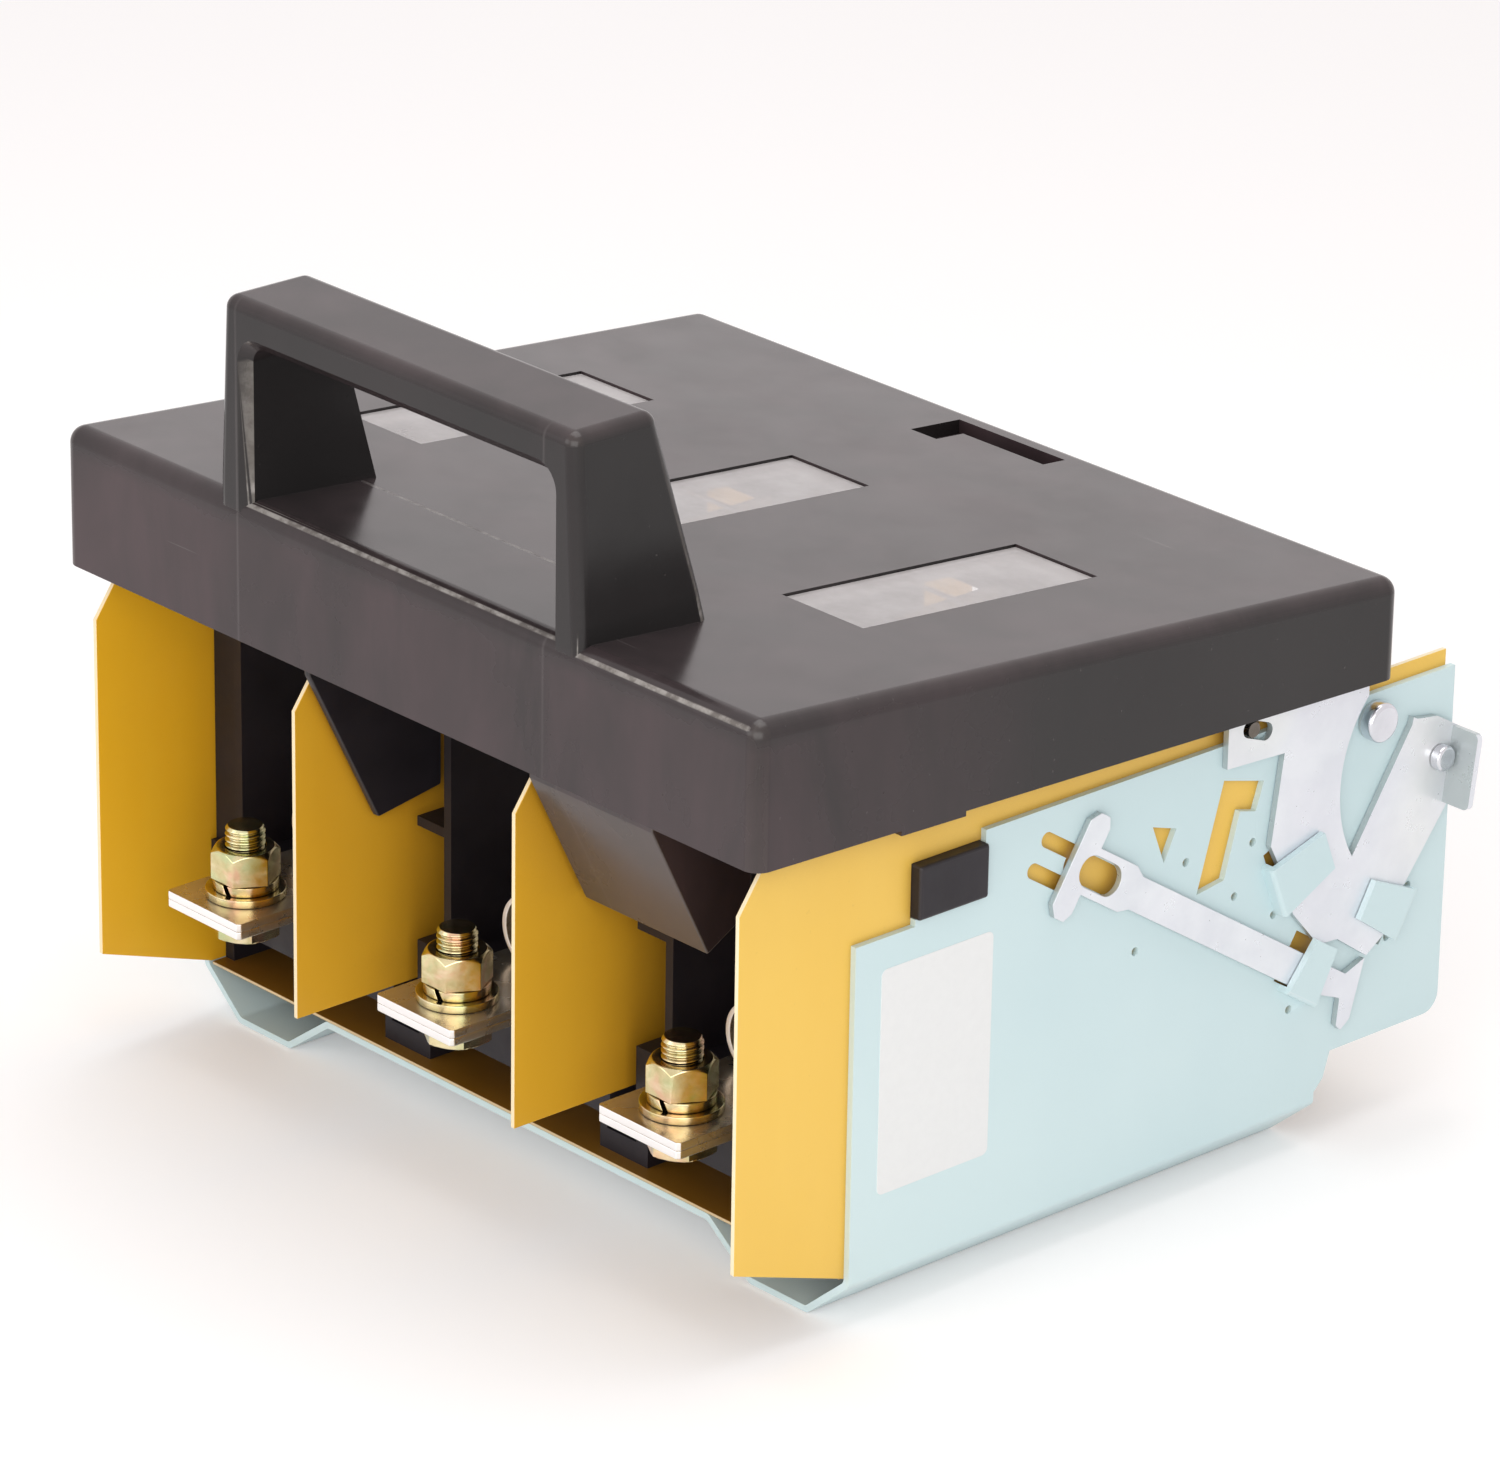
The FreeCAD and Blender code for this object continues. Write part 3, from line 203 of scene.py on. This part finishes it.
def cover_plastic():
    """Black moulding compound: half gloss, with cloudy rubbed skirts, fine scratches, chipped edges, and
    painted light: paler skirts, shade to the side's rear, sheen on the top, edge highlights.
    """
    g = Graph("cover_moulding")
    cloud = g.noise(0.040, 4.0, 0.55)
    rubbed = g.noise(0.020, 4.0, 0.65, g.stretch(1.0, 1.0, 0.35), 0.4)
    base = g.mix(g.ramp(cloud, 0.35, 0.68), (0.010, 0.009, 0.009), (0.016, 0.014, 0.014))

    # Paler skirts: partly rubbed wear, partly painted light. The side skirt fades to painted shade towards its
    # rear.
    below = g.ramp(g.axis("Z"), *SKIRT_TOP, 1.0, 0.0)
    front = g.times(g.facing("Y"), g.ramp(below, 0.0, 1.0, 0.15, 1.0))
    side = g.times(g.facing("X"), g.ramp(g.axis("Y"), *SIDE_SKIRT_SHADE_FADE, 1.0, 0.10), below)
    rubbed_and_lit = g.times(g.most(front, side), g.spread(rubbed, 0.30, 1.0))
    base = g.mix(rubbed_and_lit, base, (0.062, 0.039, 0.043))
    # A lighter top: partly rubbed tone, partly painted sheen.
    top = g.times(g.facing("Z"), g.ramp(rubbed, 0.40, 0.75, 0.35, 0.9))
    base = g.mix(top, base, (0.070, 0.050, 0.053))

    marks = g.most(g.scratches(38, 0.0035), g.scratches(-52, 0.0045, 0.76))
    base = g.mix(g.times(marks, 0.35), base, (0.17, 0.155, 0.15))
    flow = g.most(*(g.line("X", place, FLOW_WIDTH) for place in FLOW_LINES))
    flow = g.times(flow, g.facing("Y"), g.ramp(cloud, 0.3, 0.6, 0.3, 1.0))
    base = g.mix(g.times(flow, 0.35), base, (0.16, 0.14, 0.14))
    # Paler sharp edges: partly wear, partly painted highlight.
    base = g.mix(g.times(g.edge(0.515, 0.60), 0.45), base, (0.20, 0.175, 0.15))

    # Pale ridges, hollow fillets and the moulding seam, broken by chips: chipped wear and flash, partly
    # painted highlight on the ridges and fillets.
    along = g.ramp(g.math("ABSOLUTE", g.axis("X")), *SEAM_END, 1.0, 0.0)
    seam = g.times(g.line("Y", SEAM_PLACE, SEAM_WIDTH), along, g.facing("Z"))
    ridges = g.edge(0.53, 0.57)
    hollows = g.edge(0.48, 0.44)
    height = g.times(g.ramp(g.axis("Z"), *SKIRT_TOP), g.ramp(g.axis("Z"), *HANDLE_FOOT, 1.0, 0.3))
    pale = g.times(g.most(ridges, hollows, seam), height)
    chips = g.ramp(g.noise(0.0025, 4.0, 0.7), 0.40, 0.60, 0.15, 1.0)
    base = g.mix(g.times(pale, chips, 0.75), base, (0.42, 0.39, 0.37))

    rough = g.spread(g.noise(0.014, 4.0, 0.6), 0.17, 0.26)
    rough = g.math("ADD", rough, g.times(rubbed_and_lit, 0.14))
    rough = g.math("ADD", rough, g.times(pale, 0.25))
    g.set(Base_Color=base, Roughness=rough, Specular_IOR_Level=0.40)
    fine = g.bump(g.noise(0.00045, 2.0, 0.6), 0.00002, 0.3)
    g.set(Normal=g.bump(g.noise(0.035, 3.0), 0.0004, 0.22, fine))
    return g.mat


def black_plastic():
    """Darker moulding compound of the pole bases, with paler worn edges."""
    g = Graph("black_moulding")
    cloud = g.noise(0.02, 4.0, 0.6)
    base = g.mix(g.ramp(cloud, 0.35, 0.7), (0.012, 0.010, 0.013), (0.022, 0.018, 0.023))
    base = g.mix(g.times(g.edge(), 0.3), base, (0.10, 0.09, 0.09))
    g.set(Base_Color=base, Roughness=g.spread(g.noise(0.006, 4.0), 0.38, 0.55), Specular_IOR_Level=0.35)
    g.set(Normal=g.bump(g.noise(0.0006, 2.0), 0.00005, 0.5))
    return g.mat


def barrier_sheet(name, axis, low, high, edge, corner_shade_strength=0.60):
    """Yellow insulating sheet with faint rolling streaks, small specks, painted shade in corners and pale cut
    edges.
    """
    g = Graph(name)
    streaks = g.noise(0.03, 4.0, 0.6, g.stretch(1.0, 1.0, 0.22))
    base = g.mix(g.spread(streaks, 0.0, 1.0), low, high)
    specks = g.ramp(g.noise(0.0012, 2.0, 0.7), 0.70, 0.80, 0.0, 0.22)
    base = g.mix(specks, base, tuple(c * 0.72 for c in low))
    cut = g.ramp(g.facing(axis), 0.35, 0.6, 1.0, 0.0)
    base = g.mix(g.times(cut, 0.8), base, edge)
    # Painted shade in the corners, where other parts crowd the sheet.
    shaded_tone = (low[0] * 0.42, low[1] * 0.30, low[2] * 0.3)
    base = g.mix(g.shade_in_corners(0.030, corner_shade_strength), base, shaded_tone)
    g.set(Base_Color=base, Roughness=g.spread(g.noise(0.02, 3.0), 0.30, 0.42), Specular_IOR_Level=0.45)
    g.set(Normal=g.bump(g.noise(0.004, 3.0), 0.00007, 0.3))
    return g.mat


def blue_paint():
    """Pale blue powder coat with a faint orange peel."""
    g = Graph("blue_steel")
    cloud = g.noise(0.06, 3.0, 0.5)
    base = g.mix(g.ramp(cloud, 0.35, 0.65), (0.615, 0.770, 0.800), (0.665, 0.812, 0.835))
    base = g.mix(g.times(g.edge(0.52, 0.60), 0.4), base, (0.75, 0.84, 0.86))
    g.set(Base_Color=base, Roughness=g.spread(g.noise(0.010, 3.0), 0.34, 0.44), Specular_IOR_Level=0.45)
    g.set(Normal=g.bump(g.noise(0.0011, 2.0, 0.4), 0.00006, 0.45))
    return g.mat


def zinc(name, low, high, metal, rough_low, axis=None):
    """Bright zinc plate: fine grain, faint clouds and a slight lilac and cool green shift.

    With the axis that a sheet's faces look along, its cut edges are greyer and its faces get cream patches.
    """
    g = Graph(name)
    patch = g.noise(0.010, 4.0, 0.6)
    base = g.mix(g.ramp(patch, 0.35, 0.65), low, high)
    tint = g.noise(0.022, 3.0, 0.5)
    base = g.mix(g.ramp(tint, 0.48, 0.75, 0.0, 0.30), base, (0.80, 0.765, 0.86))
    base = g.mix(g.ramp(tint, 0.46, 0.25, 0.0, 0.25), base, (0.74, 0.85, 0.84))
    pits = g.ramp(g.noise(0.0012, 2.0, 0.7), 0.74, 0.82, 0.0, 0.25)
    base = g.mix(pits, base, (0.55, 0.55, 0.58))
    if axis:
        cut = g.ramp(g.facing(axis), 0.30, 0.60, 1.0, 0.0)
        base = g.mix(g.times(cut, 0.75), base, (0.40, 0.46, 0.45))
        cream = g.ramp(g.noise(0.030, 2.0, 0.4), 0.50, 0.72, 0.0, 0.55)
        base = g.mix(g.times(cream, g.facing(axis)), base, (0.83, 0.83, 0.75))
    rough = g.spread(g.noise(0.003, 3.0, 0.7), rough_low, rough_low + 0.12)
    g.set(Base_Color=base, Metallic=metal, Roughness=rough)
    g.set(Normal=g.bump(g.noise(0.0009, 3.0), 0.00002, 0.45))
    return g.mat


def plated_copper():
    """Tin plated copper bar: brushed shine, tan brown stains on its faces and bright sheared edges."""
    g = Graph("plated_copper")
    brushed = g.noise(0.004, 3.0, 0.6, g.stretch(1.0, 0.08, 1.0))
    base = g.mix(g.spread(brushed, 0.0, 1.0), (0.60, 0.545, 0.455), (0.72, 0.665, 0.575))
    stain = g.noise(0.012, 4.0, 0.6)
    base = g.mix(g.ramp(stain, 0.45, 0.72, 0.0, 0.65), base, (0.47, 0.34, 0.20))
    cut = g.ramp(g.facing("Y"), 0.5, 0.8)
    base = g.mix(cut, base, (0.93, 0.91, 0.90))
    rough = g.math("ADD", g.spread(g.noise(0.005, 4.0), 0.20, 0.34), g.times(cut, 0.2))
    g.set(Base_Color=base, Metallic=0.9, Roughness=rough)
    g.set(Normal=g.bump(brushed, 0.00004, 0.5))
    return g.mat


def plated_bolts():
    """Yellow passivated zinc: olive gold with green, pink and straw shifts over a fine grain."""
    g = Graph("plated_bolts")
    patch = g.noise(0.005, 4.0, 0.6)
    base = g.mix(g.ramp(patch, 0.35, 0.65), (0.56, 0.46, 0.22), (0.84, 0.74, 0.44))
    shift = g.noise(0.0055, 2.0, 0.5, None, 0.8)
    base = g.mix(g.ramp(shift, 0.52, 0.66, 0.0, 0.70), base, (0.86, 0.52, 0.36))
    base = g.mix(g.ramp(shift, 0.47, 0.33, 0.0, 0.60), base, (0.50, 0.62, 0.33))
    bands = g.noise(0.0028, 2.0, 0.5, g.stretch(0.6, 0.6, 1.6), 0.5)
    base = g.mix(g.ramp(bands, 0.55, 0.75, 0.0, 0.45), base, (0.95, 0.84, 0.60))
    # Painted shade in the thread roots and corners.
    base = g.mix(g.shade_in_corners(0.0035, 0.85), base, (0.10, 0.07, 0.03))
    g.set(Base_Color=base, Metallic=1.0, Roughness=g.spread(g.noise(0.0015, 4.0), 0.13, 0.26))
    g.set(Normal=g.bump(g.noise(0.0008, 2.0), 0.00002, 0.4))
    return g.mat


def ceramic():
    """Off-white glazed fuse body."""
    g = Graph("fuse_ceramic")
    cloud = g.noise(0.02, 3.0)
    base = g.mix(g.ramp(cloud, 0.35, 0.65), (0.70, 0.68, 0.63), (0.77, 0.75, 0.71))
    g.set(Base_Color=base, Roughness=g.spread(g.noise(0.008, 3.0), 0.28, 0.40))
    g.set(Normal=g.bump(g.noise(0.0012, 2.0), 0.00004, 0.4))
    return g.mat


def clear_plastic():
    """Clear window moulding, slightly hazed, and denser at its sides and edges."""
    g = Graph("clear_window")
    haze = g.noise(0.010, 4.0, 0.6)
    side = g.math("ADD", g.ramp(g.facing("Z"), 0.5, 0.9, 0.45, 0.0), g.times(g.edge(0.51, 0.55), 0.3))
    alpha = g.math("ADD", g.spread(haze, 0.43, 0.53), side)
    base = g.mix(haze, (0.66, 0.61, 0.61), (0.78, 0.74, 0.74))
    g.set(Base_Color=base, Roughness=g.spread(haze, 0.06, 0.14), Alpha=alpha, Specular_IOR_Level=0.6)
    g.set(Normal=g.bump(g.noise(0.006, 2.0), 0.0001, 0.3))
    return g.mat


def paper():
    """Bare white label stock."""
    g = Graph("label_stock")
    fibre = g.noise(0.0012, 3.0, 0.6)
    base = g.mix(g.spread(fibre, 0.0, 1.0), (0.835, 0.840, 0.843), (0.855, 0.860, 0.862))
    g.set(Base_Color=base, Roughness=g.spread(fibre, 0.42, 0.55))
    g.set(Normal=g.bump(fibre, 0.00001, 0.25))
    return g.mat


PALE_CUT = (0.93, 0.83, 0.60)
MATERIALS = {
    "cover_moulding": cover_plastic(),
    "black_moulding": black_plastic(),
    "barrier_sheet": barrier_sheet("barrier_sheet", "X", (0.84, 0.440, 0.024), (0.89, 0.500, 0.036), PALE_CUT),
    "blue_steel": blue_paint(),
    "zinc_steel": zinc("zinc_steel", (0.72, 0.75, 0.80), (0.80, 0.83, 0.87), 0.45, 0.26, "X"),
    "plated_copper": plated_copper(),
    "plated_bolts": plated_bolts(),
    "fuse_ceramic": ceramic(),
    "clear_window": clear_plastic(),
}

# Nodes that look a little different from the rest of their slot, among them three yellow sheets by painted
# light and shade.
DARK_PIN = zinc("dark_pin", (0.10, 0.085, 0.075), (0.16, 0.14, 0.12), 1.0, 0.20)
HEADS = zinc("bright_heads", (0.58, 0.60, 0.63), (0.74, 0.76, 0.79), 1.0, 0.16)
# The floor sheet is a darker copy of the yellow sheet, painted shade.
SHADED_FLOOR_SHEET = barrier_sheet("shaded_floor_sheet", "Z", (0.28, 0.135, 0.014), (0.36, 0.18, 0.022), (0.84, 0.68, 0.42))
# The outer side sheet is a lighter, paler copy of the yellow sheet, painted light.
LIT_OUTER_SHEET = barrier_sheet("lit_outer_sheet", "X", (0.88, 0.545, 0.085), (0.93, 0.600, 0.110), (0.94, 0.86, 0.66))
# The left side sheet is a lighter copy with less painted corner shade, painted light.
LIT_LEFT_SHEET = barrier_sheet("lit_left_sheet", "X", (0.96, 0.495, 0.015), (0.98, 0.555, 0.030), PALE_CUT, 0.2)
OWN = {
    "base_insulation": SHADED_FLOOR_SHEET,
    "side_barrier_right": LIT_OUTER_SHEET,
    "side_barrier_left": LIT_LEFT_SHEET,
    "hinge_bolts": HEADS,
    "lever_rivet": HEADS,
    "lever_pin": DARK_PIN,
}

# Width of the soft edges in metres, by slot.
BEVELS = {
    "cover_moulding": 0.0005,
    "black_moulding": 0.0006,
    "barrier_sheet": 0.0002,
    "blue_steel": 0.0003,
    "zinc_steel": 0.00025,
    "clear_window": 0.0002,
}
PLAIN_BEVEL = 0.0003
SAME_POINT = 0.000002


def dress_nodes():
    """Give every CAD node its material and a fine bevel on its sharp edges."""
    slot_of = {s["node"]: s["material_slot"] for s in frame["record"]["subparts"]}
    for name, node in nodes.items():
        material = OWN.get(name) or MATERIALS[slot_of[name]]
        for slot in node.material_slots:
            slot.material = material
        weld = node.modifiers.new("weld", "WELD")
        weld.merge_threshold = SAME_POINT
        bevel = node.modifiers.new("soft_edges", "BEVEL")
        bevel.width = BEVELS.get(slot_of[name], PLAIN_BEVEL)
        bevel.segments = 2
        bevel.limit_method = "ANGLE"
        bevel.angle_limit = math.radians(35)
        even = node.modifiers.new("even_shading", "WEIGHTED_NORMAL")
        even.weight = 100


# Pieces of the scene's own

def new_piece(name, mesh_maker, slot, body, material=None):
    """A piece whose faces mesh_maker adds to an empty mesh, riding on a body."""
    mesh = bpy.data.meshes.new(name)
    bm = bmesh.new()
    mesh_maker(bm)
    bmesh.ops.recalc_face_normals(bm, faces=bm.faces)
    bm.to_mesh(mesh)
    bm.free()
    obj = bpy.data.objects.new(name, mesh)
    bpy.context.scene.collection.objects.link(obj)
    mesh.materials.append(material or MATERIALS[slot])
    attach(obj, body)
    return obj


def ring_of(bm, centre, z, radii):
    """A level ring of corners round a vertical axis, with a radius for each equal step."""
    ring = []
    for k, r in enumerate(radii):
        angle = 2 * math.pi * k / len(radii)
        ring.append(bm.verts.new((centre[0] + r * math.cos(angle), centre[1] + r * math.sin(angle), z)))
    return ring


def skin(bm, rings):
    """Faces from each ring of corners to the next."""
    for low, high in zip(rings, rings[1:]):
        count = len(low)
        for k in range(count):
            n = (k + 1) % count
            bm.faces.new((low[k], low[n], high[n], high[k]))


THREAD_RADIUS = 0.006
THREAD_PITCH = 0.00175
THREAD_DEPTH = 0.00085
THREAD_RUN_OUT = 0.0012
THREAD_STEPS = 36
THREAD_RINGS_PER_TURN = 10
THREAD_BELOW_NUT = 0.004

HEAD_FLATS = 0.018
HEAD_STEPS = 48
WASHER_RADIUS = 0.012


def thread_surface(bm, centre, z0, z1):
    """A helical thread round a vertical axis, run out at its upper end."""
    rows = int((z1 - z0) / THREAD_PITCH * THREAD_RINGS_PER_TURN)
    rings = []
    for row in range(rows + 1):
        z = z0 + (z1 - z0) * row / rows
        run_out = THREAD_DEPTH * (1.0 - (z1 - z) / THREAD_RUN_OUT)
        radii = []
        for k in range(THREAD_STEPS):
            phase = ((z - z0) / THREAD_PITCH - k / THREAD_STEPS) % 1.0
            depth = THREAD_DEPTH * (0.5 + 0.5 * math.cos(2 * math.pi * phase))
            radii.append(THREAD_RADIUS - max(depth, run_out))
        rings.append(ring_of(bm, centre, z, radii))
    skin(bm, rings)
    bm.faces.new(rings[-1])


def hex_head(bm, centre, z0, z1):
    """A bolt's hexagon head with its lower corners turned down, built from rings of a rounded section."""
    inner = HEAD_FLATS / 2
    corner = HEAD_FLATS / math.sqrt(3)
    drop = corner - inner
    levels = ((z0, inner * 0.97), (z0 + drop * 0.25, inner + drop * 0.45), (z0 + drop * 0.55, corner),
              (z1, corner))
    rings = []
    for z, limit in levels:
        radii = []
        for k in range(HEAD_STEPS):
            angle = 2 * math.pi * k / HEAD_STEPS
            from_flat = (angle + math.pi / 6) % (math.pi / 3) - math.pi / 6
            radii.append(min(inner / math.cos(from_flat), limit))
        rings.append(ring_of(bm, centre, z, radii))
    skin(bm, rings)
    bm.faces.new(rings[0])
    bm.faces.new(rings[-1])


def terminal_bolts():
    """Hexagon head bolts with real threads above the nuts, in the places of the CAD bolts."""
    low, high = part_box("terminal_bolts")
    nut_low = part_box("terminal_nuts")[0]
    plate_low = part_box("front_terminal_plate_1")[0].z
    stud_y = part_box("flat_washers")[1].y - WASHER_RADIUS
    for side, sign in (("front", -1), ("rear", 1)):
        for pole in (1, 2, 3):
            plate_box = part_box("%s_terminal_plate_%d" % (side, pole))
            x = (plate_box[0].x + plate_box[1].x) / 2
            y = stud_y * sign

            def build(bm, x=x, y=y):
                hex_head(bm, (x, y), low.z, plate_low)
                thread_surface(bm, (x, y), nut_low.z - THREAD_BELOW_NUT, high.z)

            bolt = new_piece("terminal_bolt_%s_%d" % (side, pole), build, "plated_bolts", "frame")
            for polygon in bolt.data.polygons:
                reach = math.hypot(polygon.center.x - x, polygon.center.y - y)
                polygon.use_smooth = reach < THREAD_RADIUS + 0.0002 and abs(polygon.normal.z) < 0.99
            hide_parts("terminal_bolts")


LABEL_X = 0.1425
LABEL_Y = (-0.0822, -0.0402)
LABEL_Z = (0.039, 0.107)
LABEL_CORNER = 0.002
LABEL_THICKNESS = 0.00015
LABEL_ARC_STEPS = 4


def label_plate():
    """The bare white label on the right side plate."""
    y0, y1 = LABEL_Y[0] + LABEL_CORNER, LABEL_Y[1] - LABEL_CORNER
    z0, z1 = LABEL_Z[0] + LABEL_CORNER, LABEL_Z[1] - LABEL_CORNER
    outline = []
    for cy, cz, start in ((y1, z1, 0), (y0, z1, 90), (y0, z0, 180), (y1, z0, 270)):
        for step in range(LABEL_ARC_STEPS + 1):
            angle = math.radians(start + step * 90 / LABEL_ARC_STEPS)
            outline.append((cy + LABEL_CORNER * math.cos(angle), cz + LABEL_CORNER * math.sin(angle)))

    def build(bm):
        low = [bm.verts.new((LABEL_X, y, z)) for y, z in outline]
        high = [bm.verts.new((LABEL_X + LABEL_THICKNESS, y, z)) for y, z in outline]
        bm.faces.new(low)
        bm.faces.new(high)
        skin(bm, (low, high))

    new_piece("label_plate", build, "blue_steel", "frame", paper())


# The camera as fitted to the photograph: angles in degrees, lens in millimetres, the rest in metres.
CAMERA_AZIMUTH, CAMERA_ELEVATION, CAMERA_ROLL = 47.51, 22.55, 0.94
CAMERA_TARGET = (0.0, 0.05733, 0.10667)
CAMERA_BACK, CAMERA_RIGHT, CAMERA_UP = 2.24354, -0.04364, -0.01285
CAMERA_SENSOR, CAMERA_LENS = 36.0, 182.085


def camera():
    """The photograph's own view."""
    azimuth, elevation, roll = (math.radians(a) for a in (CAMERA_AZIMUTH, CAMERA_ELEVATION, CAMERA_ROLL))
    back = Vector((math.sin(azimuth) * math.cos(elevation), -math.cos(azimuth) * math.cos(elevation),
                   math.sin(elevation)))
    level = Vector((math.cos(azimuth), math.sin(azimuth), 0.0))
    up = back.cross(level)
    right = math.cos(roll) * level + math.sin(roll) * up
    top = -math.sin(roll) * level + math.cos(roll) * up
    place = Vector(CAMERA_TARGET) + back * CAMERA_BACK + right * CAMERA_RIGHT + top * CAMERA_UP
    data = bpy.data.cameras.new("photo_camera")
    data.sensor_width = CAMERA_SENSOR
    data.lens = CAMERA_LENS
    data.clip_start = 0.05
    data.clip_end = 50.0
    obj = bpy.data.objects.new("photo_camera", data)
    bpy.context.scene.collection.objects.link(obj)
    turn = Matrix((right, top, back)).transposed().to_4x4()
    obj.matrix_world = Matrix.Translation(place) @ turn
    bpy.context.scene.camera = obj


# Studio. Lights: name, place, aim, size in metres, power in watts, colour.
LIGHTS = (
    ("top_soft", (0.0, 0.1, 1.6), (0.0, 0.0, 0.1), (1.4, 1.2), 11.0, (1.0, 1.0, 1.0)),
    ("right_soft", (1.25, -1.45, 0.75), (0.0, -0.05, 0.08), (1.9, 1.3), 18.0, (1.0, 0.99, 0.97)),
    ("front_soft", (-0.6, -1.8, 0.8), (0.0, 0.0, 0.10), (1.3, 0.9), 6.0, (1.0, 1.0, 1.0)),
    ("back_soft", (-1.55, 1.6, 0.52), (0.0, 0.0, 0.20), (2.8, 0.62), 1.6, (1.0, 1.0, 1.0)),
)
BACKGROUND = (0.985, 0.935, 0.935)
SKY = (1.0, 0.995, 0.99)
SKY_STRENGTH = 0.55
FLOOR_LIFT = (1.0, 0.950, 0.955)
FLOOR_LIFT_STRENGTH = 0.21
FLOOR_FADE = (0.6, 2.0)
FLOOR_SIZE = 12.0
FLOOR_GAP = 0.0002


def area_light(name, place, aim, size, power, color):
    """A rectangular soft light that looks at a point."""
    data = bpy.data.lights.new(name, "AREA")
    data.shape = "RECTANGLE"
    data.size, data.size_y = size
    data.energy = power
    data.color = color
    obj = bpy.data.objects.new(name, data)
    bpy.context.scene.collection.objects.link(obj)
    direction = Vector(aim) - Vector(place)
    obj.location = place
    obj.rotation_euler = direction.to_track_quat("-Z", "Y").to_euler()


def seen_rays(tree):
    """1 for what the camera sees, straight or in gloss and glass, and 0 for the light that it sheds."""
    path = tree.nodes.new("ShaderNodeLightPath")
    total = path.outputs["Is Camera Ray"]
    for name in ("Is Glossy Ray", "Is Transmission Ray"):
        either = tree.nodes.new("ShaderNodeMath")
        either.operation = "MAXIMUM"
        tree.links.new(total, either.inputs[0])
        tree.links.new(path.outputs[name], either.inputs[1])
        total = either.outputs[0]
    return total


def floor_surface():
    """Near white floor that keeps the shadow. Where it is seen it is lifted a little, and fades far out."""
    g = Graph("studio_floor")
    cloud = g.noise(0.4, 2.0)
    g.set(Base_Color=g.mix(cloud, (0.87, 0.853, 0.850), (0.89, 0.873, 0.870)), Roughness=0.9,
          Specular_IOR_Level=0.1)
    seen = seen_rays(g.tree)
    lift = g.add("ShaderNodeEmission", Color=FLOOR_LIFT, Strength=g.times(seen, FLOOR_LIFT_STRENGTH))
    lifted = g.tree.nodes.new("ShaderNodeAddShader")
    g.feed(lifted.inputs[0], g.shader.outputs[0])
    g.feed(lifted.inputs[1], lift.outputs[0])

    away = g.add("ShaderNodeVectorMath", Vector=g.coord)
    away.operation = "LENGTH"
    white = g.add("ShaderNodeEmission", Color=BACKGROUND)
    surface = g.tree.nodes.new("ShaderNodeMixShader")
    g.feed(surface.inputs[0], g.times(g.ramp(away.outputs["Value"], *FLOOR_FADE), seen))
    g.feed(surface.inputs[1], lifted.outputs[0])
    g.feed(surface.inputs[2], white.outputs[0])
    g.feed(g.tree.nodes["Material Output"].inputs["Surface"], surface.outputs[0])
    return g.mat


def studio_floor():
    """A large plain floor just under the part."""
    mesh = bpy.data.meshes.new("studio_floor")
    bm = bmesh.new()
    bmesh.ops.create_grid(bm, x_segments=1, y_segments=1, size=FLOOR_SIZE)
    bm.to_mesh(mesh)
    bm.free()
    mesh.materials.append(floor_surface())
    floor = bpy.data.objects.new("studio_floor", mesh)
    floor.location = (0.0, 0.0, -FLOOR_GAP)
    bpy.context.scene.collection.objects.link(floor)


def studio_world():
    """Soft light from all round, with the plain background where the world is seen."""
    world = bpy.data.worlds.new("studio")
    world.use_nodes = True
    bpy.context.scene.world = world
    tree = world.node_tree
    shade = tree.nodes["Background"]
    shade.inputs["Color"].default_value = SKY + (1.0,)
    shade.inputs["Strength"].default_value = SKY_STRENGTH
    seen = tree.nodes.new("ShaderNodeBackground")
    seen.inputs["Color"].default_value = BACKGROUND + (1.0,)
    seen.inputs["Strength"].default_value = 1.0
    choose = tree.nodes.new("ShaderNodeMixShader")
    tree.links.new(seen_rays(tree), choose.inputs[0])
    tree.links.new(shade.outputs[0], choose.inputs[1])
    tree.links.new(seen.outputs[0], choose.inputs[2])
    tree.links.new(choose.outputs[0], tree.nodes["World Output"].inputs["Surface"])


def studio():
    """Pale floor and surroundings, and large soft lights."""
    studio_floor()
    studio_world()
    for light in LIGHTS:
        area_light(*light)
    view = bpy.context.scene.view_settings
    view.view_transform = "Standard"


dress_nodes()
terminal_bolts()
label_plate()
camera()
studio()
